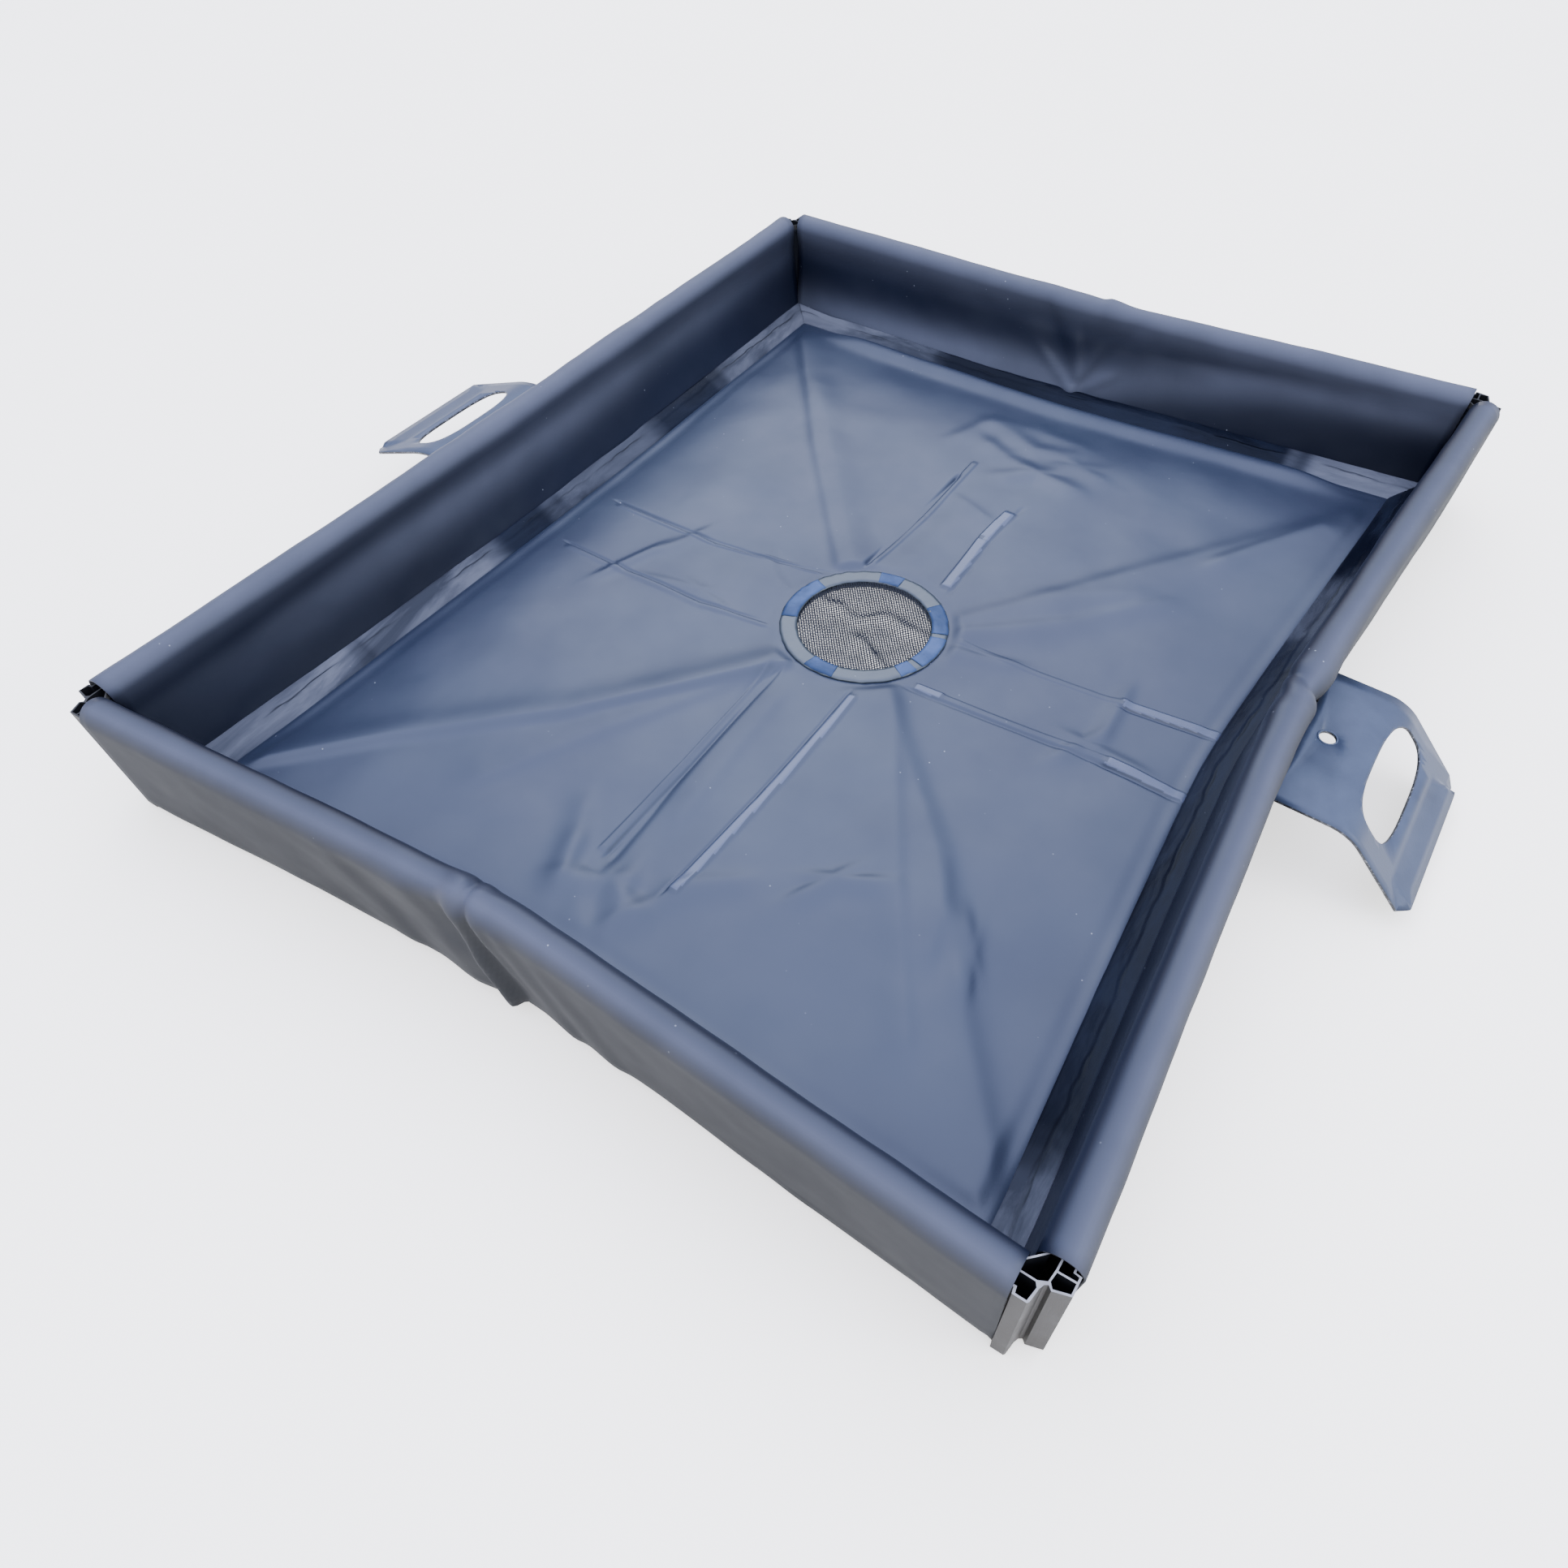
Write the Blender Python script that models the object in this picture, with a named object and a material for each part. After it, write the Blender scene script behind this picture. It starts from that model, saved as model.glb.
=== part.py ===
"""Soft-walled oil drain pan with a mesh strainer and two swinging steel handles.

Metres, +Z up. The pan stands on z = 0, +X runs across it to the right handle, and +Y runs along it
from the front wall to the back wall. Each wall has its own frame: x along the wall, y inwards from
the wall's outer top edge, z up. The walls, cores and handles are built in those frames.
"""

import math

import bmesh
import bpy
from mathutils import Vector

# The pan.
PAN_WIDTH = 0.760
PAN_LENGTH = 0.934
RIM_HEIGHT = 0.105
WALL_THICKNESS = 0.023
WALL_LEAN = 0.0075
WALL_FOOT = 0.015
CLOTH = 0.0012
GAP = 0.0004
WALLS = ("front", "right", "back", "left")
WALL_SPAN = {"front": PAN_WIDTH, "right": PAN_LENGTH, "back": PAN_WIDTH, "left": PAN_LENGTH}
WALL_REACH = {
    "front": PAN_LENGTH / 2,
    "right": PAN_WIDTH / 2,
    "back": PAN_LENGTH / 2,
    "left": PAN_WIDTH / 2,
}
# How far each wall kinks inwards at its middle, where its two cores meet.
WALL_KINK = {"front": 0.023, "right": 0.026, "back": 0.0135, "left": 0.005}
CORNER_NOTCH = 0.0265
ROUND_TOP = WALL_THICKNESS / 2
TOP_CENTRE_Z = RIM_HEIGHT - ROUND_TOP
WALL_UNDERSIDE = 0.0052
UNDERSIDE_START = 0.006
UNDERSIDE_END = 0.018
ROUND_STEPS_TOP = 12

# The stack under and on the floor, from the ground up.
SLEEVE_BASE = 0.0008
SLEEVE_TOP = 0.0030
STIFFENER_BOTTOM = 0.0011
STIFFENER_TOP = 0.0031
LINER_BOTTOM = 0.0034
LINER_TOP = LINER_BOTTOM + CLOTH
LINER_TUCK = 0.018
LINER_NOTCH = 0.037

# The drain.
DRAIN_HOLE_RADIUS = 0.057
DRAIN_RING_THICKNESS = 0.0014
LINER_HOLE_MARGIN = 0.003
DRAIN_RING_RADIUS = 0.072
NET_RADIUS = 0.068
NET_BOTTOM = 0.0023
NET_TOP = 0.0031
NET_PITCH = 0.010
NET_BAR = 0.0024
ROUND_STEPS = 64

# The pockets under the floor.
SLEEVE_HALF_WIDTH = 0.040
SLEEVE_LIP = 0.007
SLEEVE_REACH = {
    "front": (0.088, 0.338),
    "back": (0.088, 0.300),
    "right": (0.078, 0.320),
    "left": (0.078, 0.320),
}
BATTEN_REACH = {"front": (0.098, 0.328), "back": (0.098, 0.290)}
STIFFENER_HALF_WIDTH = 0.032

# The cores, and the pocket between the two halves.
CORE_POCKET = {"front": 0.006, "right": 0.078, "back": 0.006, "left": 0.078}
CORE_END_CLEARANCE = 0.028

# The corners. A post stands proud of the wraps' tops, and its legs stop above their undersides.
POST_PROUD = 0.0050
LEG_CLEARANCE = 0.003
LEG_CUT_EDGE = CORNER_NOTCH + WALL_LEAN - 0.0012
CUT_BEYOND = 0.06
CUT_OUTSIDE = -0.01
WEB_NEAR = 0.0236
WEB_FAR = 0.0267
WEB_BOTTOM = 0.0225
WEB_PROUD = 0.003

# The tape over the seam between wall and floor: its upper and lower edges.
STRIP_TOP_IN = 0.0312
STRIP_TOP_Z = 0.0165
STRIP_FOOT_IN = 0.0540
STRIP_FOOT_Z = 0.0051
STRIP_MITRE_GAP = 0.004
STRIP_FOOT_STEP = (0.0012, 0.0008)
STRIP_TOP_STEP = (0.0003, 0.0015)

# The handles. A handle's profile starts on its pin and runs outwards.
STEEL = 0.0020
PIN_Z = 0.069
PIN_INSET = 0.0086
PIN_RADIUS = 0.0030
BORE_RADIUS = 0.0034
KNUCKLE_RADIUS = 0.0055
KNUCKLE_SPLIT = 0.0345
PIN_HALF_LENGTH = 0.056
HANDLE_HALF_WIDTH = 0.0725
HANDLE_ROOT = 0.0085
HANDLE_FLAT = 0.049
HANDLE_BEND = 0.027
HANDLE_SHANK = 0.038
HANDLE_LIP = 0.0225
# Slopes of the flat, the shank and the lip, in degrees. The left handle is bent less than the right.
HANDLE_SLOPES = {"right": (-4.0, -47.0, -35.0), "left": (-4.0, -22.0, -16.0)}
HANDLE_SWING = {"right": 0.0, "left": 3.0}
HAND_HOLE_START = 0.059
HAND_HOLE_END = 0.100
HAND_HOLE_HALF_LENGTH = 0.053
BOLT_HOLE_RADIUS = 0.006
BOLT_HOLE_AT = 0.025
BEND_STEPS = 8
KNUCKLE_PLAY = 0.0005
ROOT_OVERLAP = 0.003
SLOT_PLAY = 0.003
SLOT_BELOW_PIN = 0.007
SLOT_ABOVE_PIN = 0.022
SLOT_DEPTH_BEFORE_PIN = 0.001
SLIT_PLAY = 0.001
SLIT_FROM_PIN = (0.0029, 0.0061)
SLIT_TOP = WALL_FOOT + 0.005
BRACKET_BEND = 0.003
BRACKET_BEND_STEPS = 4
EAR_OVERLAP = 0.002
TONGUE_END = 0.220
RISER_HALF_WIDTH = 0.054
RISER_SHOULDER = 0.028
RISER_TOP = 0.062

COLOURS = {
    "coated_cloth": ((0.105, 0.135, 0.200), 0.42, 0.0),
    "welded_tape": ((0.060, 0.075, 0.115), 0.25, 0.0),
    "core_foam": ((0.55, 0.56, 0.58), 0.9, 0.0),
    "post_plastic": ((0.42, 0.40, 0.37), 0.5, 0.0),
    "drain_tape": ((0.16, 0.20, 0.28), 0.22, 0.0),
    "net": ((0.20, 0.21, 0.23), 0.6, 0.0),
    "handle_steel": ((0.13, 0.15, 0.20), 0.45, 0.6),
    "bracket_steel": ((0.45, 0.46, 0.48), 0.4, 0.9),
    "pin_steel": ((0.55, 0.55, 0.56), 0.3, 1.0),
}


def clear_scene():
    """Remove every object that the file starts with."""
    for obj in list(bpy.data.objects):
        bpy.data.objects.remove(obj, do_unlink=True)


def make_material(name):
    """A Principled material with the named colour, roughness and metallic value."""
    colour, roughness, metallic = COLOURS[name]
    material = bpy.data.materials.new(name)
    material.use_nodes = True
    shader = material.node_tree.nodes["Principled BSDF"]
    shader.inputs["Base Color"].default_value = (*colour, 1.0)
    shader.inputs["Roughness"].default_value = roughness
    shader.inputs["Metallic"].default_value = metallic
    return material


def make_empty(name, location, turn, parent=None):
    """An empty that carries a wall's or the pan's frame."""
    empty = bpy.data.objects.new(name, None)
    bpy.context.scene.collection.objects.link(empty)
    empty.location = location
    empty.rotation_euler = (0.0, 0.0, turn)
    empty.parent = parent
    return empty


def make_object(name, bm, material, parent, location=(0.0, 0.0, 0.0)):
    """Turn a bmesh into a named object with its faces pointing out."""
    bmesh.ops.recalc_face_normals(bm, faces=bm.faces)
    mesh = bpy.data.meshes.new(name)
    bm.to_mesh(mesh)
    bm.free()
    if material is not None:
        mesh.materials.append(material)
    obj = bpy.data.objects.new(name, mesh)
    bpy.context.scene.collection.objects.link(obj)
    obj.parent = parent
    obj.location = location
    return obj


def smooth_round_faces(obj, angle=35.0):
    """Shade the round stretches smooth and keep the edges sharp."""
    obj.data.shade_smooth()
    obj.data.set_sharp_from_angle(angle=math.radians(angle))


def loft(sections):
    """A solid through closed sections that all have the same number of points."""
    bm = bmesh.new()
    rings = [[bm.verts.new(point) for point in section] for section in sections]
    count = len(rings[0])
    for ring, following in zip(rings, rings[1:]):
        for i in range(count):
            j = (i + 1) % count
            bm.faces.new((ring[i], ring[j], following[j], following[i]))
    bm.faces.new(rings[0])
    bm.faces.new(rings[-1])
    return bm


def loft_sleeve(outer_sections, inner_sections):
    """An open tube between outer and inner sections, with flat rims at both ends."""
    bm = bmesh.new()
    outer = [[bm.verts.new(point) for point in section] for section in outer_sections]
    inner = [[bm.verts.new(point) for point in section] for section in inner_sections]
    count = len(outer[0])
    for skin in (outer, inner):
        for ring, following in zip(skin, skin[1:]):
            for i in range(count):
                j = (i + 1) % count
                bm.faces.new((ring[i], ring[j], following[j], following[i]))
    for end in (0, -1):
        for i in range(count):
            j = (i + 1) % count
            bm.faces.new((outer[end][i], outer[end][j], inner[end][j], inner[end][i]))
    return bm


def plate(outline, holes, bottom, top, lean=None):
    """A flat plate with holes; lean(z) shifts both x and y, for a leaning extrusion."""
    bm = bmesh.new()
    for loop in [outline] + holes:
        verts = [bm.verts.new((x, y, 0.0)) for x, y in loop]
        for a, b in zip(verts, verts[1:] + verts[:1]):
            bm.edges.new((a, b))
    bmesh.ops.triangle_fill(bm, use_beauty=True, use_dissolve=False, edges=bm.edges)
    lower = list(bm.verts)
    raised = bmesh.ops.extrude_face_region(bm, geom=list(bm.faces))
    upper = [item for item in raised["geom"] if isinstance(item, bmesh.types.BMVert)]
    for verts, z in ((lower, bottom), (upper, top)):
        shift = lean(z) if lean else 0.0
        for vert in verts:
            vert.co = (vert.co.x + shift, vert.co.y + shift, z)
    return bm


def circle(radius, steps=ROUND_STEPS, centre=(0.0, 0.0)):
    """Points round a circle."""
    turns = [2.0 * math.pi * i / steps for i in range(steps)]
    return [(centre[0] + radius * math.cos(t), centre[1] + radius * math.sin(t)) for t in turns]


def box(x_range, y_range, z_range):
    """A box as a bmesh."""
    (x0, x1), (y0, y1), (z0, z1) = x_range, y_range, z_range
    base = [(x0, y0), (x1, y0), (x1, y1), (x0, y1)]
    return loft([[(x, y, z) for x, y in base] for z in (z0, z1)])


def rod_along_x(radius, x0, x1, centre_y, centre_z, steps=24):
    """A round bar along x."""
    ring = circle(radius, steps, (centre_y, centre_z))
    return loft([[(x, y, z) for y, z in ring] for x in (x0, x1)])


def combine(target, name, operation, bm):
    """Add a Boolean to target with its own guide object, which stays out of the build."""
    guide = make_object(f"{target.name}.{name}", bm, None, target.parent, target.location)
    guide.rotation_euler = target.rotation_euler
    guide.hide_render = True
    guide.display_type = "WIRE"
    modifier = target.modifiers.new(name, "BOOLEAN")
    modifier.operation = operation
    modifier.solver = "EXACT"
    modifier.object = guide


def inset_loop(points, distance):
    """Move each side of a closed counter-clockwise outline inwards and meet them again."""
    count = len(points)
    moved = []
    for i in range(count):
        before = Vector(points[i - 1])
        here = Vector(points[i])
        after = Vector(points[(i + 1) % count])
        first = (here - before).normalized()
        second = (after - here).normalized()
        normal_a = Vector((-first.y, first.x))
        normal_b = Vector((-second.y, second.x))
        middle = (normal_a + normal_b).normalized()
        moved.append(tuple(here + middle * (distance / middle.dot(normal_a))))
    return moved


def wall_outline():
    """The wall's cross-section as (inward, up) points, counter-clockwise, round at the top."""
    top = []
    for i in range(ROUND_STEPS_TOP + 1):
        turn = math.pi * i / ROUND_STEPS_TOP
        inward = ROUND_TOP + ROUND_TOP * math.cos(turn)
        up = TOP_CENTRE_Z + ROUND_TOP * math.sin(turn)
        top.append((inward, up))
    foot = [
        (WALL_LEAN, WALL_FOOT),
        (WALL_LEAN + UNDERSIDE_START, WALL_UNDERSIDE),
        (WALL_LEAN + UNDERSIDE_END, WALL_UNDERSIDE),
        (WALL_LEAN + WALL_THICKNESS, WALL_FOOT),
    ]
    return top + foot


def kink_shift(wall, along, up):
    """How far the wall is pushed inwards at a place along it, down from its leaning ends."""
    end = WALL_SPAN[wall] / 2 - CORNER_NOTCH - lean_shift(up)
    return WALL_KINK[wall] * max(0.0, 1.0 - abs(along) / end)


def lean_shift(z):
    """How far a leaning wall or post sits inwards at a height."""
    return WALL_LEAN * (TOP_CENTRE_Z - z) / (TOP_CENTRE_Z - WALL_FOOT)


def place_section(wall, outline, along):
    """Stand a cross-section up at a place along the wall."""
    return [(along, inward + kink_shift(wall, along, up), up) for inward, up in outline]


def end_section(wall, outline, side):
    """A cross-section at the wall's left (-1) or right (1) end, cut to lean with the corner."""
    end = WALL_SPAN[wall] / 2 - CORNER_NOTCH
    return [(side * (end - lean_shift(up)), inward, up) for inward, up in outline]


def make_wall_wrap(wall, frame, material):
    """The cloth sleeve round a wall's cores."""
    skins = []
    for outline in (wall_outline(), inset_loop(wall_outline(), CLOTH)):
        left, right = (end_section(wall, outline, side) for side in (-1, 1))
        skins.append([left, place_section(wall, outline, 0.0), right])
    wrap = make_object(f"wall_wrap_{wall}", loft_sleeve(*skins), material, frame)
    if wall in HANDLE_SWING:
        pin_y = WALL_KINK[wall] + PIN_INSET
        half = HANDLE_HALF_WIDTH + SLOT_PLAY
        depths = (CUT_OUTSIDE, pin_y - SLOT_DEPTH_BEFORE_PIN)
        mouth = box((-half, half), depths, (PIN_Z - SLOT_BELOW_PIN, PIN_Z + SLOT_ABOVE_PIN))
        combine(wrap, "handle_slot", "DIFFERENCE", mouth)
        half = STIFFENER_HALF_WIDTH + SLIT_PLAY
        depths = (pin_y + SLIT_FROM_PIN[0], pin_y + SLIT_FROM_PIN[1])
        combine(wrap, "bracket_slit", "DIFFERENCE", box((-half, half), depths, (CUT_OUTSIDE, SLIT_TOP)))
    smooth_round_faces(wrap)


def make_wall_cores(wall, frame, material):
    """Two foam boards per wall, with the fold or the handle's pocket between them."""
    outline = inset_loop(wall_outline(), CLOTH + GAP)
    end = WALL_SPAN[wall] / 2 - CORNER_NOTCH - CORE_END_CLEARANCE
    pocket = CORE_POCKET[wall]
    for half, start, stop in (("a", -end, -pocket), ("b", pocket, end)):
        sections = [place_section(wall, outline, s) for s in (start, stop)]
        core = make_object(f"wall_core_{wall}_{half}", loft(sections), material, frame)
        smooth_round_faces(core)


def make_weld_strip(wall, frame, material):
    """The slanted tape over the seam between wall and floor, mitred at its ends."""
    outline = [
        (STRIP_TOP_IN, STRIP_TOP_Z),
        (STRIP_FOOT_IN, STRIP_FOOT_Z),
        (STRIP_FOOT_IN + STRIP_FOOT_STEP[0], STRIP_FOOT_Z + STRIP_FOOT_STEP[1]),
        (STRIP_TOP_IN + STRIP_TOP_STEP[0], STRIP_TOP_Z + STRIP_TOP_STEP[1]),
    ]
    half = WALL_SPAN[wall] / 2 - STRIP_MITRE_GAP
    left = [(-(half - inward), inward, up) for inward, up in outline]
    middle = place_section(wall, outline, 0.0)
    right = [(half - inward, inward, up) for inward, up in outline]
    make_object(f"weld_strip_{wall}", loft([left, middle, right]), material, frame)


def corner_outline():
    """The post's outline at one corner; both axes run inwards from the corner, along the walls."""
    return [
        (0.0440, 0.0044),
        (0.0440, 0.0194),
        (0.0278, 0.0194),
        (0.0194, 0.0278),
        (0.0194, 0.0440),
        (0.0044, 0.0440),
        (0.0044, 0.0262),
        (0.0010, 0.0256),
        (0.0010, 0.0178),
        (0.0098, 0.0158),
        (0.0128, 0.0146),
        (0.0140, 0.0128),
        (0.0120, 0.0106),
        (0.0148, 0.0010),
        (0.0256, 0.0010),
        (0.0262, 0.0044),
    ]


def corner_chambers():
    """The hollows of the post: the main one, the front leg's, and the side leg's near and far ones."""
    main = [
        (0.0428, 0.0126),
        (0.0428, 0.0184),
        (0.0274, 0.0184),
        (0.0184, 0.0274),
        (0.0184, 0.0428),
        (0.0137, 0.0428),
        (0.0132, 0.0182),
        (0.0153, 0.0137),
        (0.0224, 0.0129),
    ]
    front_leg = [
        (0.0055, 0.0428),
        (0.0055, 0.0250),
        (0.0022, 0.0244),
        (0.0022, 0.0187),
        (0.0098, 0.0170),
        (0.0122, 0.0186),
        (0.0127, 0.0428),
    ]
    side_near = [
        (0.0133, 0.0105),
        (0.0157, 0.0022),
        (0.0214, 0.0022),
        (0.0212, 0.0119),
        (0.0158, 0.0127),
    ]
    side_far = [
        (0.0226, 0.0022),
        (0.0248, 0.0022),
        (0.0254, 0.0055),
        (0.0428, 0.0055),
        (0.0428, 0.0114),
        (0.0224, 0.0117),
    ]
    return [main, front_leg, side_near, side_far]


def make_corner_posts(frames, material):
    """A hollow leaning extrusion in each corner, with a leg inside each wall's end."""
    for name, frame in frames.items():
        bm = plate(corner_outline(), corner_chambers(), 0.0, TOP_CENTRE_Z + POST_PROUD, lean_shift)
        post = make_object(f"corner_post_{name}", bm, material, frame)
        heights = (CUT_OUTSIDE, WALL_FOOT + LEG_CLEARANCE)
        first = box((LEG_CUT_EDGE, CUT_BEYOND), (CUT_OUTSIDE, CUT_BEYOND), heights)
        combine(post, "leg_a", "DIFFERENCE", first)
        second = box((CUT_OUTSIDE, LEG_CUT_EDGE), (LEG_CUT_EDGE, CUT_BEYOND), heights)
        combine(post, "leg_b", "DIFFERENCE", second)


def make_corner_webs(frames, material):
    """A narrow upright cloth web that closes each inner corner between two wraps."""
    half = CLOTH / 2 * math.sqrt(0.5)
    outline = [
        (WEB_FAR + half, WEB_NEAR + half),
        (WEB_NEAR + half, WEB_FAR + half),
        (WEB_NEAR - half, WEB_FAR - half),
        (WEB_FAR - half, WEB_NEAR - half),
    ]
    for name, frame in frames.items():
        bm = plate(outline, [], WEB_BOTTOM, TOP_CENTRE_Z + WEB_PROUD, lean_shift)
        make_object(f"corner_web_{name}", bm, material, frame)


def make_floor_liner(pan, material):
    """The floor sheet, tucked under the walls, with its drain hole and corner notches."""
    outline = []
    for quarter, wall in enumerate(WALLS):
        end = WALL_SPAN[wall] / 2 - LINER_NOTCH
        turn = math.pi / 2 * quarter
        points = [
            (-end, LINER_TUCK),
            (0.0, LINER_TUCK + WALL_KINK[wall]),
            (end, LINER_TUCK),
            (end, LINER_NOTCH),
        ]
        for along, inward in points:
            depth = inward - WALL_REACH[wall]
            x = along * math.cos(turn) - depth * math.sin(turn)
            y = along * math.sin(turn) + depth * math.cos(turn)
            outline.append((x, y))
    hole = circle(DRAIN_HOLE_RADIUS + LINER_HOLE_MARGIN)
    bm = plate(outline, [hole], LINER_BOTTOM, LINER_TOP)
    make_object("floor_liner", bm, material, pan)


def make_floor_sleeve(wall, frame, material):
    """A shallow open-topped pocket welded under the floor, along one arm of the cross."""
    near, far = SLEEVE_REACH[wall]
    half, lip = SLEEVE_HALF_WIDTH, SLEEVE_LIP
    outline = [
        (-half, 0.0),
        (half, 0.0),
        (half, SLEEVE_TOP),
        (half - lip, SLEEVE_TOP),
        (half - lip, SLEEVE_BASE),
        (lip - half, SLEEVE_BASE),
        (lip - half, SLEEVE_TOP),
        (-half, SLEEVE_TOP),
    ]
    reach = WALL_REACH[wall]
    sections = [[(x, y, z) for x, z in outline] for y in (reach - far, reach - near)]
    make_object(f"floor_sleeve_{wall}", loft(sections), material, frame)


def make_floor_batten(wall, frame, material):
    """A flat stiffener that lies in a front or back pocket."""
    near, far = BATTEN_REACH[wall]
    reach = WALL_REACH[wall]
    half = STIFFENER_HALF_WIDTH
    bm = box((-half, half), (reach - far, reach - near), (STIFFENER_BOTTOM, STIFFENER_TOP))
    make_object(f"floor_batten_{wall}", bm, material, frame)


def make_drain(pan, tape, net):
    """The ring on the floor, the ring under it and the net between them."""
    hole = circle(DRAIN_HOLE_RADIUS)
    ring_bottom = LINER_TOP + GAP
    ring_top = ring_bottom + DRAIN_RING_THICKNESS
    upper = plate(circle(DRAIN_RING_RADIUS), [hole], ring_bottom, ring_top)
    smooth_round_faces(make_object("drain_ring", upper, tape, pan))
    lower = plate(circle(DRAIN_RING_RADIUS), [hole], 0.0, NET_BOTTOM - GAP)
    smooth_round_faces(make_object("drain_backing_ring", lower, tape, pan))
    make_object("strainer_net", plate(circle(NET_RADIUS), net_holes(), NET_BOTTOM, NET_TOP), net, pan)


def net_holes():
    """The square holes of the net, as far out as they fit in the drain."""
    holes = []
    count = int(DRAIN_HOLE_RADIUS / NET_PITCH) + 1
    half = (NET_PITCH - NET_BAR) / 2
    square = [(-half, -half), (half, -half), (half, half), (-half, half)]
    for row in range(-count, count + 1):
        for column in range(-count, count + 1):
            x = column * NET_PITCH
            y = row * NET_PITCH
            if math.hypot(abs(x) + half, abs(y) + half) < DRAIN_HOLE_RADIUS:
                holes.append([(x + dx, y + dy) for dx, dy in square])
    return holes


def heading(slope):
    """A unit step outwards and up at a slope."""
    return Vector((math.cos(slope), math.sin(slope)))


def handle_path(side):
    """A handle's middle line as (outward, up) points from its pin: flat, bend, shank and lip."""
    flat, steep, lip = (math.radians(slope) for slope in HANDLE_SLOPES[side])
    points = [Vector((HANDLE_ROOT, 0.0)), HANDLE_FLAT * heading(flat)]
    for i in range(BEND_STEPS):
        slope = flat + (steep - flat) * (i + 0.5) / BEND_STEPS
        points.append(points[-1] + HANDLE_BEND / BEND_STEPS * heading(slope))
    points.append(points[-1] + HANDLE_SHANK * heading(steep))
    points.append(points[-1] + HANDLE_LIP * heading(lip))
    return points


def thicken(path, thickness):
    """A closed outline round an open path."""
    upper, lower = [], []
    for i, point in enumerate(path):
        before = path[max(i - 1, 0)]
        after = path[min(i + 1, len(path) - 1)]
        direction = (after - before).normalized()
        normal = Vector((-direction.y, direction.x))
        upper.append(point + normal * thickness / 2)
        lower.append(point - normal * thickness / 2)
    return upper + lower[::-1]


def point_along(path, distance):
    """The point at a distance along the handle's path, counted from the pin."""
    travelled = HANDLE_ROOT
    for start, stop in zip(path, path[1:]):
        length = (stop - start).length
        if travelled + length >= distance:
            return start.lerp(stop, (distance - travelled) / length)
        travelled += length
    return path[-1]


def handle_reach(side):
    """How far a handle reaches outwards from its pin at rest."""
    turn = math.radians(HANDLE_SWING[side])
    outline = thicken(handle_path(side), STEEL)
    return max(point.x * math.cos(turn) - point.y * math.sin(turn) for point in outline)


def make_handle(side, frame, material):
    """The bent plate with its knuckle, hand hole and bolt hole; it turns about its own x axis."""
    path = handle_path(side)
    half = HANDLE_HALF_WIDTH
    outline = [(-point.x, point.y) for point in thicken(path, STEEL)]
    sections = [[(x, y, z) for y, z in outline] for x in (-half, half)]
    location = (0.0, WALL_KINK[side] + PIN_INSET, PIN_Z)
    handle = make_object(f"handle_{side}", loft(sections), material, frame, location)
    handle.rotation_euler = (-math.radians(HANDLE_SWING[side]), 0.0, 0.0)
    knuckle_half = KNUCKLE_SPLIT - KNUCKLE_PLAY
    depths = (-HANDLE_ROOT - ROOT_OVERLAP, -PIN_RADIUS)
    root = box((-knuckle_half, knuckle_half), depths, (-STEEL / 2, STEEL / 2))
    combine(handle, "root", "UNION", root)
    knuckle = rod_along_x(KNUCKLE_RADIUS, -knuckle_half, knuckle_half, 0.0, 0.0)
    combine(handle, "knuckle", "UNION", knuckle)
    combine(handle, "bore", "DIFFERENCE", rod_along_x(BORE_RADIUS, -0.05, 0.05, 0.0, 0.0))
    combine(handle, "hand_hole", "DIFFERENCE", hand_hole_guide(path))
    bolt = circle(BOLT_HOLE_RADIUS, 24, (0.0, -BOLT_HOLE_AT))
    bolt_sections = [[(x, y, z) for x, y in bolt] for z in (-0.01, 0.01)]
    combine(handle, "bolt_hole", "DIFFERENCE", loft(bolt_sections))
    smooth_round_faces(handle)


def hand_hole_guide(path):
    """A long prism with round ends, square to the chord that the hand hole spans."""
    start = point_along(path, HAND_HOLE_START)
    stop = point_along(path, HAND_HOLE_END)
    chord = stop - start
    middle = (start + stop) / 2
    radius = chord.length / 2
    across = chord.normalized()
    normal = Vector((-across.y, across.x))
    straight = HAND_HOLE_HALF_LENGTH - radius
    outline = []
    for side in (1, -1):
        for i in range(13):
            turn = math.pi * (i / 12 - 0.5)
            outline.append((side * (straight + radius * math.cos(turn)), side * radius * math.sin(turn)))
    sections = []
    for depth in (-0.02, 0.02):
        section = []
        for x, offset in outline:
            point = middle + across * offset + normal * depth
            section.append((x, -point.x, point.y))
        sections.append(section)
    return loft(sections)


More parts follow.
